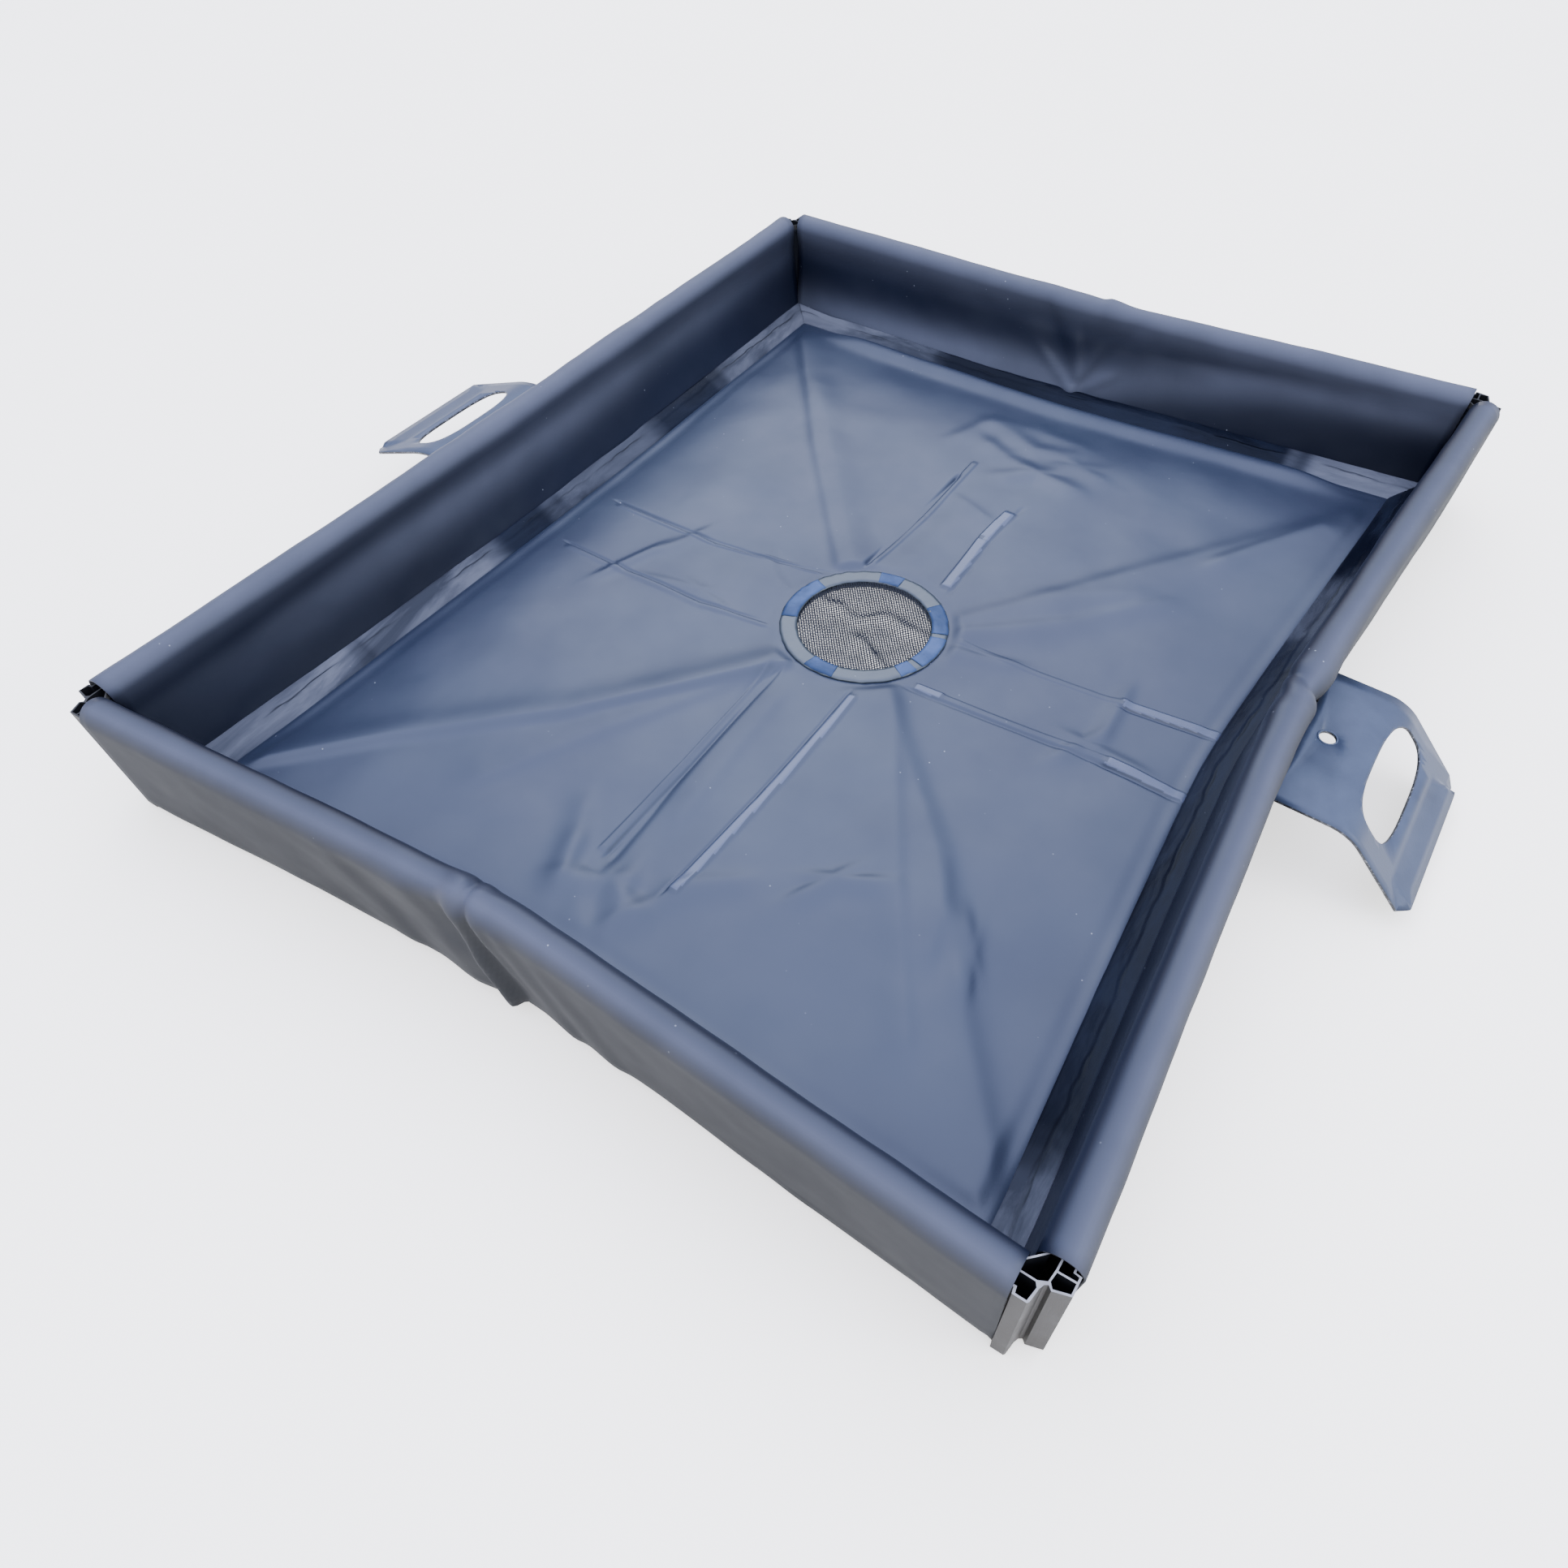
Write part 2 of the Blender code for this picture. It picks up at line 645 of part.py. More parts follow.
def make_handle_bracket(side, frame, material):
    """An angle: a tongue in the floor pocket, a riser in the wall and two knuckles at its top."""
    pin_y = WALL_KINK[side] + PIN_INSET
    riser_y = pin_y + KNUCKLE_RADIUS - STEEL / 2
    level = (STIFFENER_BOTTOM + STIFFENER_TOP) / 2
    path = [Vector((WALL_REACH[side] - TONGUE_END, level))]
    centre = Vector((riser_y + BRACKET_BEND, level + BRACKET_BEND))
    for i in range(BRACKET_BEND_STEPS + 1):
        turn = math.pi / 2 * i / BRACKET_BEND_STEPS
        path.append(centre - BRACKET_BEND * Vector((math.sin(turn), math.cos(turn))))
    path.append(Vector((riser_y, RISER_TOP)))
    half = STIFFENER_HALF_WIDTH
    sections = [[(x, point.x, point.y) for point in thicken(path, STEEL)] for x in (-half, half)]
    bracket = make_object(f"handle_bracket_{side}", loft(sections), material, frame)
    wide = RISER_HALF_WIDTH
    faces = (riser_y - STEEL / 2, riser_y + STEEL / 2)
    combine(bracket, "shoulder", "UNION", box((-wide, wide), faces, (RISER_SHOULDER, RISER_TOP)))
    for name, start, stop in (("a", -wide, -KNUCKLE_SPLIT), ("b", KNUCKLE_SPLIT, wide)):
        ear = box((start, stop), faces, (RISER_TOP - EAR_OVERLAP, PIN_Z))
        combine(bracket, f"ear_{name}", "UNION", ear)
        knuckle = rod_along_x(KNUCKLE_RADIUS, start, stop, pin_y, PIN_Z)
        combine(bracket, f"knuckle_{name}", "UNION", knuckle)
    combine(bracket, "bore", "DIFFERENCE", rod_along_x(BORE_RADIUS, -0.07, 0.07, pin_y, PIN_Z))
    smooth_round_faces(bracket)


def make_handle_pin(side, frame, material):
    """The pin that carries a handle; it stays still in the bracket's knuckles."""
    pin_y = WALL_KINK[side] + PIN_INSET
    bm = rod_along_x(PIN_RADIUS, -PIN_HALF_LENGTH, PIN_HALF_LENGTH, pin_y, PIN_Z)
    smooth_round_faces(make_object(f"handle_pin_{side}", bm, material, frame))


def make_frames():
    """The pan's frame and one for each wall and corner, with x = 0 halfway across the whole."""
    out = {}
    for side in HANDLE_SWING:
        pin_out = WALL_REACH[side] - WALL_KINK[side] - PIN_INSET
        out[side] = pin_out + handle_reach(side)
    pan = make_empty("pan_frame", ((out["left"] - out["right"]) / 2, 0.0, 0.0), 0.0)
    walls, corners = {}, {}
    for quarter, wall in enumerate(WALLS):
        turn = math.pi / 2 * quarter
        reach = WALL_REACH[wall]
        location = (reach * math.sin(turn), -reach * math.cos(turn), 0.0)
        walls[wall] = make_empty(f"{wall}_wall_frame", location, turn, pan)
    half_x, half_y = PAN_WIDTH / 2, PAN_LENGTH / 2
    places = {
        "front_left": (-half_x, -half_y, 0.0),
        "front_right": (half_x, -half_y, math.pi / 2),
        "back_right": (half_x, half_y, math.pi),
        "back_left": (-half_x, half_y, -math.pi / 2),
    }
    for name, (x, y, turn) in places.items():
        corners[name] = make_empty(f"{name}_corner_frame", (x, y, 0.0), turn, pan)
    return pan, walls, corners


def build():
    """Make every piece of the pan."""
    clear_scene()
    materials = {name: make_material(name) for name in COLOURS}
    pan, walls, corners = make_frames()
    make_floor_liner(pan, materials["coated_cloth"])
    make_drain(pan, materials["drain_tape"], materials["net"])
    for wall, frame in walls.items():
        make_wall_wrap(wall, frame, materials["coated_cloth"])
        make_wall_cores(wall, frame, materials["core_foam"])
        make_weld_strip(wall, frame, materials["welded_tape"])
        make_floor_sleeve(wall, frame, materials["coated_cloth"])
    for wall in BATTEN_REACH:
        make_floor_batten(wall, walls[wall], materials["bracket_steel"])
    for side in HANDLE_SWING:
        make_handle_bracket(side, walls[side], materials["bracket_steel"])
        make_handle_pin(side, walls[side], materials["pin_steel"])
        make_handle(side, walls[side], materials["handle_steel"])
    make_corner_posts(corners, materials["post_plastic"])
    make_corner_webs(corners, materials["coated_cloth"])


build()
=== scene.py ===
"""Looks of the oil drain pan: coated-cloth walls and floor, weld tapes, strainer net and handles.

Everything is built in metres in the frame's own axes. Each wall has a local frame: x along the wall,
y inwards from its outer top edge, z up. Floor places are measured from the pan's own centre.
"""

import math
import bmesh
import bpy
import numpy as np
from mathutils import Matrix, Vector, noise


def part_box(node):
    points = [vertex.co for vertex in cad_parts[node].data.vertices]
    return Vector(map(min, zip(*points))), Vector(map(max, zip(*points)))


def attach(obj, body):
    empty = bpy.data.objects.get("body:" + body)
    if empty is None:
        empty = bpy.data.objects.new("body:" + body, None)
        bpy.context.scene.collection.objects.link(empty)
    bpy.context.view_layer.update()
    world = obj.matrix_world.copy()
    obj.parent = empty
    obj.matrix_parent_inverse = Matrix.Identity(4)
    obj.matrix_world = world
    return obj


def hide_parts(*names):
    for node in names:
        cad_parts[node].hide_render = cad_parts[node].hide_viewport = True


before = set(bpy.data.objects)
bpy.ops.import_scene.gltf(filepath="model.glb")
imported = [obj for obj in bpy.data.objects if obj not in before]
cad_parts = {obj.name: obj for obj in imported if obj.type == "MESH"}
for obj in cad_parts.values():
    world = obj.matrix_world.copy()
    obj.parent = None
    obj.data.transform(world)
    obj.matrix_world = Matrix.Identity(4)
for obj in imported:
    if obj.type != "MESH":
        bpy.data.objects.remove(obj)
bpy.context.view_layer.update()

# The frame's own sizes.
RING_LOW, RING_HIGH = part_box("drain_ring")
LEFT_LOW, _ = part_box("wall_wrap_left")
_, RIGHT_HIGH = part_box("wall_wrap_right")
FRONT_LOW, FRONT_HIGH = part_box("wall_wrap_front")
_, BACK_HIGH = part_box("wall_wrap_back")
_, LINER_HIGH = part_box("floor_liner")
CENTRE_X = (RING_LOW.x + RING_HIGH.x) / 2
WIDTH = RIGHT_HIGH.x - LEFT_LOW.x
LENGTH = BACK_HIGH.y - FRONT_LOW.y
RIM_HEIGHT = FRONT_HIGH.z
FLOOR_Z = LINER_HIGH.z
RING_RADIUS = (RING_HIGH.x - RING_LOW.x) / 2

# The walls.
WALLS = ("front", "right", "back", "left")
SPAN = {"front": WIDTH, "right": LENGTH, "back": WIDTH, "left": LENGTH}
REACH = {"front": LENGTH / 2, "right": WIDTH / 2, "back": LENGTH / 2, "left": WIDTH / 2}
KINK = {"front": 0.023, "right": 0.026, "back": 0.0135, "left": 0.005}
FLARE = {
    "front": [(-0.5, 0.0024), (0.5, 0.0024)],
    "right": [(-0.5, 0.0024), (0.5, 0.0024)],
    "back": [
        (-0.34, 0.0020),
        (-0.06, 0.0030),
        (0.02, 0.0060),
        (0.10, 0.0105),
        (0.30, 0.0105),
        (0.36, 0.0060),
    ],
    "left": [(-0.43, 0.0040), (-0.20, 0.0060), (0.10, 0.0070), (0.25, 0.0050), (0.42, 0.0014)],
}
KINK_ROUND = {"front": 0.07, "right": 0.13, "back": 0.09, "left": 0.3}
WALL_THICKNESS = 0.023
WALL_LEAN = 0.0075
WALL_FOOT = 0.015
WALL_UNDERSIDE = 0.0052
ROUND_TOP = WALL_THICKNESS / 2
TOP_CENTRE_Z = RIM_HEIGHT - ROUND_TOP
CORNER_NOTCH = 0.0265
# The share of its lean that a wall keeps along its own length, at an end that is cut upright.
END_LEAN = {("front", True): 0.15}
POST_LEAN = {"front_right": (0.6, 0.25)}
# The pinch under the roll, and how far up the foot's flare reaches.
PINCH = 0.0013
PINCH_Z = 0.076
PINCH_SPREAD = 0.010
FLARE_REACH = 0.050
# The wall's underside, as (inward, up) points.
UNDERSIDE = [
    (0.0275, 0.0085),
    (0.0245, 0.0056),
    (0.0190, WALL_UNDERSIDE),
    (0.0140, WALL_UNDERSIDE),
    (0.0108, 0.0066),
    (0.0085, 0.0104),
]
# Steps of the wall's section: below the slot, along it, over the roll and down the inner face.
OUTER_STEPS = 10
SLOT_STEPS = 6
ROLL_STEPS = 20
INNER_STEPS = 20
FIRST_ROLL_COLUMN = OUTER_STEPS + SLOT_STEPS + 1
LAST_ROLL_COLUMN = FIRST_ROLL_COLUMN + ROLL_STEPS - 1
LAST_INNER_COLUMN = FIRST_ROLL_COLUMN + ROLL_STEPS + INNER_STEPS
CLOTH = 0.0012
LOWEST_CLOTH = 0.0012
# The creases and waves die out over this length at a wall's ends.
CALM_REACH = 0.03
CORE_END_CLEARANCE = 0.028
CORE_STEPS = 24
CORE_POCKET = {"front": 0.006, "right": 0.078, "back": 0.006, "left": 0.078}
CORNERS = {"front_left": (-1, -1), "front_right": (1, -1), "back_right": (1, 1), "back_left": (-1, 1)}

# The tape over the seam between wall and floor.
STRIP_TOP_Z = 0.0165
STRIP_FOOT_IN = 0.0540
STRIP_FOOT_Z = 0.0051
STRIP_MITRE_GAP = 0.0003
STRIP_THICKNESS = 0.0009
STRIP_ROWS = 420
STRIP_COLUMNS = 26

# The corners.
POST_LEVELS = 12
POST_PROUD = 0.0052
POST_BOTTOM = 0.0006
LEG_CLEARANCE = 0.003
LEG_EDGE = CORNER_NOTCH + WALL_LEAN - 0.0012
GUSSET_BOTTOM = 0.0115
GUSSET_ROWS = 40

# The floor: how much of it lies under walls and tapes at each edge, and its grid's columns and rows.
FLOOR_TUCK = 0.044
FLOOR_COLUMNS = 330
FLOOR_ROWS = 400
# Distances from the middle where the grid's lines stand closer together.
FINE_AT_X = (0.034,)
FINE_AT_Y = (0.025, 0.046)
# The cloth's turn-up against the tapes, and the ridge along the back tape: steep behind, soft in front.
TURN_UP = 0.0022
RIDGE = 0.0074
RIDGE_IN = 0.018
RIDGE_STEEP = 0.0036
RIDGE_SOFT = 0.013

# The drain.
HOLE_RADIUS = 0.057
ARC_COLUMNS = 7
RING_THICKNESS = 0.0014
RING_STEPS = 180
RING_SEED = 2.0
# Where the ring's patches start and stop, in degrees.
RING_PATCHES = [(156, 203), (90, 108), (257, 279), (326, 338), (343, 375), (20, 52)]
PATCH_INSET = 0.0006
PATCH_THICKNESS = 0.0010
PATCH_STEPS = 24
PATCH_SEED = 4.0
NET_RADIUS = 0.064
NET_PITCH = 0.0021
NET_WIRE = 0.00055
NET_TURN = 38.0
LOWEST_NET = 0.0013

# The handles.
STEEL = 0.0020
PIN_Z = 0.069
PIN_INSET = 0.0086
HANDLE_HALF_WIDTH = 0.0725
HANDLE_ROOT = 0.0085
FLAT_END = 0.049
BEND_END = FLAT_END + 0.027
SHANK_END = BEND_END + 0.038
HANDLE_END = SHANK_END + 0.0225
# Slopes of each handle's flat, shank and lip.
HANDLE_SLOPES = {
    "right": (math.radians(-4.0), math.radians(-47.0), math.radians(-34.0)),
    "left": (math.radians(-4.0), math.radians(-22.0), math.radians(-15.0)),
}
HANDLE_SWING = {"right": 0.0, "left": math.radians(3.0)}
SLOT_HALF = HANDLE_HALF_WIDTH + 0.003
SLOT_BOTTOM = PIN_Z - 0.007
SLOT_TOP = PIN_Z + 0.022
# The holes' centres, as (along, reach) places on the plate, and their half sizes.
HAND_HOLE = (0.002, 0.0795)
HAND_HOLE_HALF = (0.0530, 0.0205)
HAND_HOLE_POWER = 0.66
BOLT_HOLE = (0.004, 0.025)
BOLT_HOLE_RADIUS = 0.0060
BOLT_RIM_RADIUS = 0.0066
BOLT_RIM_WIRE = 0.0007
BOLT_RIM_PROUD = 0.0005
BOLT_RIM_STEPS = 32
BOLT_RIM_SIDES = 8
LIP_CHAMFER = 0.007
# Places along the plate's width where it is cut, so that the lip's mitres can bend.
MITRE_CUTS = (-0.066, -0.062, -0.058, -0.054, -0.05, 0.046, 0.05, 0.054, 0.058, 0.062)
KNUCKLE_HALF = 0.034
KNUCKLE_RADIUS = 0.0055
KNUCKLE_BORE = 0.0034
KNUCKLE_SIDES = 28

# The studio.
STAGE_HALF = 40.0
STAGE_Z = -0.0005
SKY_STRENGTH = 3.4
# Sky colours: (height from straight down, 0, to straight up, 1; colour).
SKY = [
    (0.0, (0.36, 0.32, 0.27)),
    (0.12, (0.27, 0.25, 0.23)),
    (0.26, (0.24, 0.26, 0.32)),
    (0.42, (0.46, 0.54, 0.76)),
    (0.66, (0.86, 0.98, 1.40)),
    (1.0, (1.20, 1.33, 1.92)),
]
# Lamps: (name, place, size, power, colour).
LAMPS = [
    ("lamp_back", (-1.6, 2.4, 2.4), 2.6, 40.0, (0.92, 0.96, 1.0)),
    ("lamp_front", (0.4, -3.0, 1.7), 2.0, 34.0, (1.0, 0.96, 0.90)),
    ("lamp_right", (3.0, 0.3, 1.3), 1.8, 62.0, (0.90, 0.95, 1.0)),
]
CAMERA_PLACE = (CENTRE_X + 0.38185, -0.6800, 0.6731)
CAMERA_AIM = (-0.37866, 0.54868, -0.74536)
CAMERA_ROLL = math.radians(-1.68)
SENSOR_WIDTH = 36.0
LENS = 27.41


# ---------------------------------------------------------------- materials


def new_material(name, colour, roughness, metallic=0.0):
    """A Principled material; returns it with its node tree and shader."""
    material = bpy.data.materials.new(name)
    material.use_nodes = True
    tree = material.node_tree
    shader = tree.nodes["Principled BSDF"]
    shader.inputs["Base Color"].default_value = (*colour, 1.0)
    shader.inputs["Roughness"].default_value = roughness
    shader.inputs["Metallic"].default_value = metallic
    return material, tree, shader


def coordinates(tree, stretch=(1.0, 1.0, 1.0)):
    """Object coordinates, scaled on each axis."""
    source = tree.nodes.new("ShaderNodeTexCoord")
    mapping = tree.nodes.new("ShaderNodeMapping")
    mapping.inputs["Scale"].default_value = stretch
    tree.links.new(source.outputs["Object"], mapping.inputs["Vector"])
    return mapping.outputs["Vector"]


def noise_value(tree, vector, scale, detail=3.0, rough=0.5, distortion=0.0):
    """A noise texture's value."""
    node = tree.nodes.new("ShaderNodeTexNoise")
    node.inputs["Scale"].default_value = scale
    node.inputs["Detail"].default_value = detail
    node.inputs["Roughness"].default_value = rough
    node.inputs["Distortion"].default_value = distortion
    tree.links.new(vector, node.inputs["Vector"])
    return node.outputs["Fac"]


def ramp(tree, value, stops):
    """A colour ramp with (place, colour) stops."""
    node = tree.nodes.new("ShaderNodeValToRGB")
    elements = node.color_ramp.elements
    while len(elements) < len(stops):
        elements.new(0.5)
    for element, (place, colour) in zip(elements, stops):
        element.position = place
        element.color = (*colour, 1.0)
    tree.links.new(value, node.inputs["Fac"])
    return node.outputs["Color"]


def rescale(tree, value, low, high, from_low=0.3, from_high=0.7):
    """A value mapped from one range to another."""
    node = tree.nodes.new("ShaderNodeMapRange")
    node.inputs["From Min"].default_value = from_low
    node.inputs["From Max"].default_value = from_high
    node.inputs["To Min"].default_value = low
    node.inputs["To Max"].default_value = high
    tree.links.new(value, node.inputs["Value"])
    return node.outputs["Result"]


def add_bump(tree, shader, height, strength, distance, after=None):
    """A bump, chained after another one where given; returns its normal."""
    node = tree.nodes.new("ShaderNodeBump")
    node.inputs["Strength"].default_value = strength
    node.inputs["Distance"].default_value = distance
    tree.links.new(height, node.inputs["Height"])
    if after is not None:
        tree.links.new(after, node.inputs["Normal"])
    tree.links.new(node.outputs["Normal"], shader.inputs["Normal"])
    return node.outputs["Normal"]


def add_dust(tree, shader, vector, colour, scale=75.0, size=0.055, dust=(0.26, 0.27, 0.28)):
    """Small pale specks scattered over a colour."""
    cells = tree.nodes.new("ShaderNodeTexVoronoi")
    cells.inputs["Scale"].default_value = scale
    tree.links.new(vector, cells.inputs["Vector"])
    speck = rescale(tree, cells.outputs["Distance"], 0.8, 0.0, 0.3 * size, size)
    patch = rescale(tree, noise_value(tree, vector, 9.0, 2.0), 0.0, 1.0, 0.52, 0.62)
    both = tree.nodes.new("ShaderNodeMath")
    both.operation = "MULTIPLY"
    tree.links.new(speck, both.inputs[0])
    tree.links.new(patch, both.inputs[1])
    mix = tree.nodes.new("ShaderNodeMix")
    mix.data_type = "RGBA"
    mix.inputs["B"].default_value = (*dust, 1.0)
    tree.links.new(both.outputs["Value"], mix.inputs["Factor"])
    tree.links.new(colour, mix.inputs["A"])
    tree.links.new(mix.outputs["Result"], shader.inputs["Base Color"])


def add_grain(tree, shader, vector, unevenness):
    """The coated cloth's fine leathery grain, and a soft unevenness under it."""
    grain = noise_value(tree, vector, 1300.0, 2.0, 0.6)
    first = add_bump(tree, shader, grain, 0.16, 0.0002)
    soft = noise_value(tree, vector, 38.0, 3.0, 0.5)
    add_bump(tree, shader, soft, unevenness, 0.0006, first)


def cloth_material(name, dark, light, rough_low, rough_high, specular=0.5, dust=True):
    """Satin PVC-coated cloth: soft colour drift, fine leathery grain and dust specks."""
    middle = tuple((a + b) / 2 for a, b in zip(dark, light))
    material, tree, shader = new_material(name, middle, (rough_low + rough_high) / 2)
    vector = coordinates(tree)
    drift = noise_value(tree, vector, 3.2, 3.0, 0.55, 0.4)
    colour = ramp(tree, drift, [(0.35, dark), (0.65, light)])
    if dust:
        add_dust(tree, shader, vector, colour)
    else:
        tree.links.new(colour, shader.inputs["Base Color"])
    wear = noise_value(tree, vector, 14.0, 4.0, 0.6)
    tree.links.new(rescale(tree, wear, rough_low, rough_high), shader.inputs["Roughness"])
    add_grain(tree, shader, vector, 0.12)
    shader.inputs["Specular IOR Level"].default_value = specular
    shader.inputs["Specular Tint"].default_value = (0.90, 0.93, 1.0, 1.0)
    return material


def weight_value(tree, name):
    """A weight that the mesh carries on its points."""
    node = tree.nodes.new("ShaderNodeAttribute")
    node.attribute_name = name
    return node.outputs["Fac"]


def blend_in(tree, factor, first, second):
    """A colour that goes to a second one with a factor."""
    mix = tree.nodes.new("ShaderNodeMix")
    mix.data_type = "RGBA"
    tree.links.new(factor, mix.inputs["Factor"])
    tree.links.new(first, mix.inputs["A"])
    tree.links.new(second, mix.inputs["B"])
    return mix.outputs["Result"]


def wall_cloth_material():
    """The walls' cloth: satin and blue-black inside, pale on the roll as a painted highlight, with painted
    sheen on two inner faces, dull and neutral outside.
    """
    material, tree, shader = new_material("wall_cloth_look", (0.008, 0.010, 0.017), 0.4)
    vector = coordinates(tree)
    drift = noise_value(tree, vector, 3.2, 3.0, 0.55, 0.4)
    inside = ramp(tree, drift, [(0.35, (0.0020, 0.0030, 0.0085)), (0.65, (0.0050, 0.0070, 0.0155))])
    rub = noise_value(tree, vector, 7.0, 5.0, 0.6, 0.3)
    # The pale roll colour is a painted highlight; the painted sheen on the inner faces uses it too.
    painted_highlight = ramp(tree, rub, [(0.35, (0.036, 0.039, 0.052)), (0.65, (0.047, 0.050, 0.067))])
    outside = ramp(tree, rub, [(0.35, (0.0075, 0.0075, 0.0072)), (0.65, (0.0130, 0.0128, 0.0122))])
    weight = weight_value(tree, "outside")
    rolled = blend_in(tree, rescale(tree, weight, 0.0, 1.0, 0.0, 0.45), inside, painted_highlight)
    colour = blend_in(tree, rescale(tree, weight, 0.0, 1.0, 0.55, 1.0), rolled, outside)
    add_dust(tree, shader, vector, colour)
    wear = rescale(tree, noise_value(tree, vector, 14.0, 4.0, 0.6), -0.05, 0.05)
    rough = tree.nodes.new("ShaderNodeMath")
    rough.operation = "ADD"
    tree.links.new(wear, rough.inputs[0])
    tree.links.new(rescale(tree, weight, 0.37, 0.85, 0.0, 1.0), rough.inputs[1])
    tree.links.new(rough.outputs["Value"], shader.inputs["Roughness"])
    shader.inputs["Specular IOR Level"].default_value = 0.35
    shader.inputs["Specular Tint"].default_value = (0.88, 0.93, 1.0, 1.0)
    add_grain(tree, shader, vector, 0.2)
    return material


def tape_material(name, dark, light, stretch, hazy=None):
    """Glossy welded tape with streaks of smeared glue, hazed in places, and a black cracked seam."""
    material, tree, shader = new_material(name, dark, 0.25)
    vector = coordinates(tree, stretch)
    streak = noise_value(tree, vector, 22.0, 5.0, 0.6, 0.6)
    colour = ramp(tree, streak, [(0.38, dark), (0.66, light)])
    rough = rescale(tree, streak, 0.18, 0.36)
    if hazy is not None:
        film = ramp(tree, streak, [(0.35, hazy[0]), (0.68, hazy[1])])
        colour = blend_in(tree, weight_value(tree, "haze"), colour, film)
        black = ramp(tree, streak, [(0.0, (0.0006, 0.0007, 0.0010)), (1.0, (0.0014, 0.0016, 0.0022))])
        colour = blend_in(tree, weight_value(tree, "seam"), colour, black)
    add_dust(tree, shader, coordinates(tree), colour, scale=110.0, size=0.05)
    tree.links.new(rough, shader.inputs["Roughness"])
    ripple = noise_value(tree, vector, 70.0, 4.0, 0.55, 0.8)
    add_bump(tree, shader, ripple, 0.4, 0.0008)
    shader.inputs["Specular IOR Level"].default_value = 0.06
    shader.inputs["Specular Tint"].default_value = (0.80, 0.89, 1.0, 1.0)
    return material


def plastic_material(name, colour, shade, roughness):
    """Sawn plastic: faint saw lines, grime in patches."""
    material, tree, shader = new_material(name, colour, roughness)
    vector = coordinates(tree)
    grime = noise_value(tree, vector, 60.0, 5.0, 0.6)
    tree.links.new(ramp(tree, grime, [(0.35, shade), (0.6, colour)]), shader.inputs["Base Color"])
    lines = noise_value(tree, coordinates(tree, (1.0, 1.0, 0.06)), 700.0, 3.0, 0.6)
    add_bump(tree, shader, lines, 0.3, 0.0004)
    tree.links.new(rescale(tree, grime, roughness - 0.1, roughness + 0.1), shader.inputs["Roughness"])
    shader.inputs["Specular IOR Level"].default_value = 0.15
    return material


def foam_material():
    """Closed-cell foam board."""
    material, tree, shader = new_material("foam_look", (0.15, 0.155, 0.16), 0.9)
    vector = coordinates(tree)
    cells = noise_value(tree, vector, 500.0, 4.0, 0.7)
    colour = ramp(tree, cells, [(0.3, (0.11, 0.115, 0.12)), (0.7, (0.17, 0.175, 0.18))])
    tree.links.new(colour, shader.inputs["Base Color"])
    add_bump(tree, shader, cells, 0.4, 0.0006)
    return material


def metal_material(name, dark, light, rough_low, rough_high, metallic, grain=900.0):
    """Painted or bare steel with fine texture and worn patches."""
    material, tree, shader = new_material(name, dark, rough_low, metallic)
    vector = coordinates(tree)
    rub = noise_value(tree, vector, 26.0, 6.0, 0.62, 0.3)
    colour = ramp(tree, rub, [(0.36, dark), (0.66, light)])
    add_dust(tree, shader, vector, colour, scale=140.0, size=0.05)
    tree.links.new(rescale(tree, rub, rough_low, rough_high), shader.inputs["Roughness"])
    peel = noise_value(tree, vector, grain, 3.0, 0.6)
    add_bump(tree, shader, peel, 0.22, 0.0003)
    shader.inputs["Specular IOR Level"].default_value = 0.28
    return material


def edge_material():
    """The handle's cut edge: black paint with pale burrs."""
    material, tree, shader = new_material("handle_edge_look", (0.02, 0.02, 0.025), 0.5)
    vector = coordinates(tree)
    burr = noise_value(tree, vector, 420.0, 4.0, 0.7)
    colour = ramp(tree, burr, [(0.53, (0.004, 0.0045, 0.006)), (0.62, (0.12, 0.125, 0.13))])
    tree.links.new(colour, shader.inputs["Base Color"])
    add_bump(tree, shader, burr, 0.6, 0.0006)
    return material


def backdrop_material():
    """Pale studio floor."""
    material, tree, shader = new_material("backdrop_look", (0.90, 0.80, 0.68), 0.9)
    vector = coordinates(tree)
    mottle = noise_value(tree, vector, 4.0, 3.0)
    colour = ramp(tree, mottle, [(0.3, (0.95, 0.87, 0.71)), (0.7, (0.97, 0.89, 0.73))])
    tree.links.new(colour, shader.inputs["Base Color"])
    shader.inputs["Specular IOR Level"].default_value = 0.0
    shader.inputs["Emission Color"].default_value = (1.0, 0.98, 0.95, 1.0)
    shader.inputs["Emission Strength"].default_value = 0.95
    return material


# ---------------------------------------------------------------- mesh helpers


def link_object(mesh, materials):
    """A smooth-shaded object for a mesh, with its materials."""
    for material in materials:
        mesh.materials.append(material)
    mesh.shade_smooth()
    obj = bpy.data.objects.new(mesh.name, mesh)
    bpy.context.scene.collection.objects.link(obj)
    return obj


def link_mesh(name, verts, faces, *materials):
    """A mesh object from vertices and faces."""
    mesh = bpy.data.meshes.new(name)
    mesh.from_pydata([tuple(v) for v in verts], [], faces)
    return link_object(mesh, materials)


def link_bmesh(name, bm, *materials):
    """The same from a bmesh."""
    bmesh.ops.recalc_face_normals(bm, faces=bm.faces)
    mesh = bpy.data.meshes.new(name)
    bm.to_mesh(mesh)
    bm.free()
    return link_object(mesh, materials)


def add_weight(obj, name, values):
    """A weight from 0 to 1 on each of an object's points, for its material."""
    weight = obj.data.attributes.new(name, "FLOAT", "POINT")
    weight.data.foreach_set("value", values)


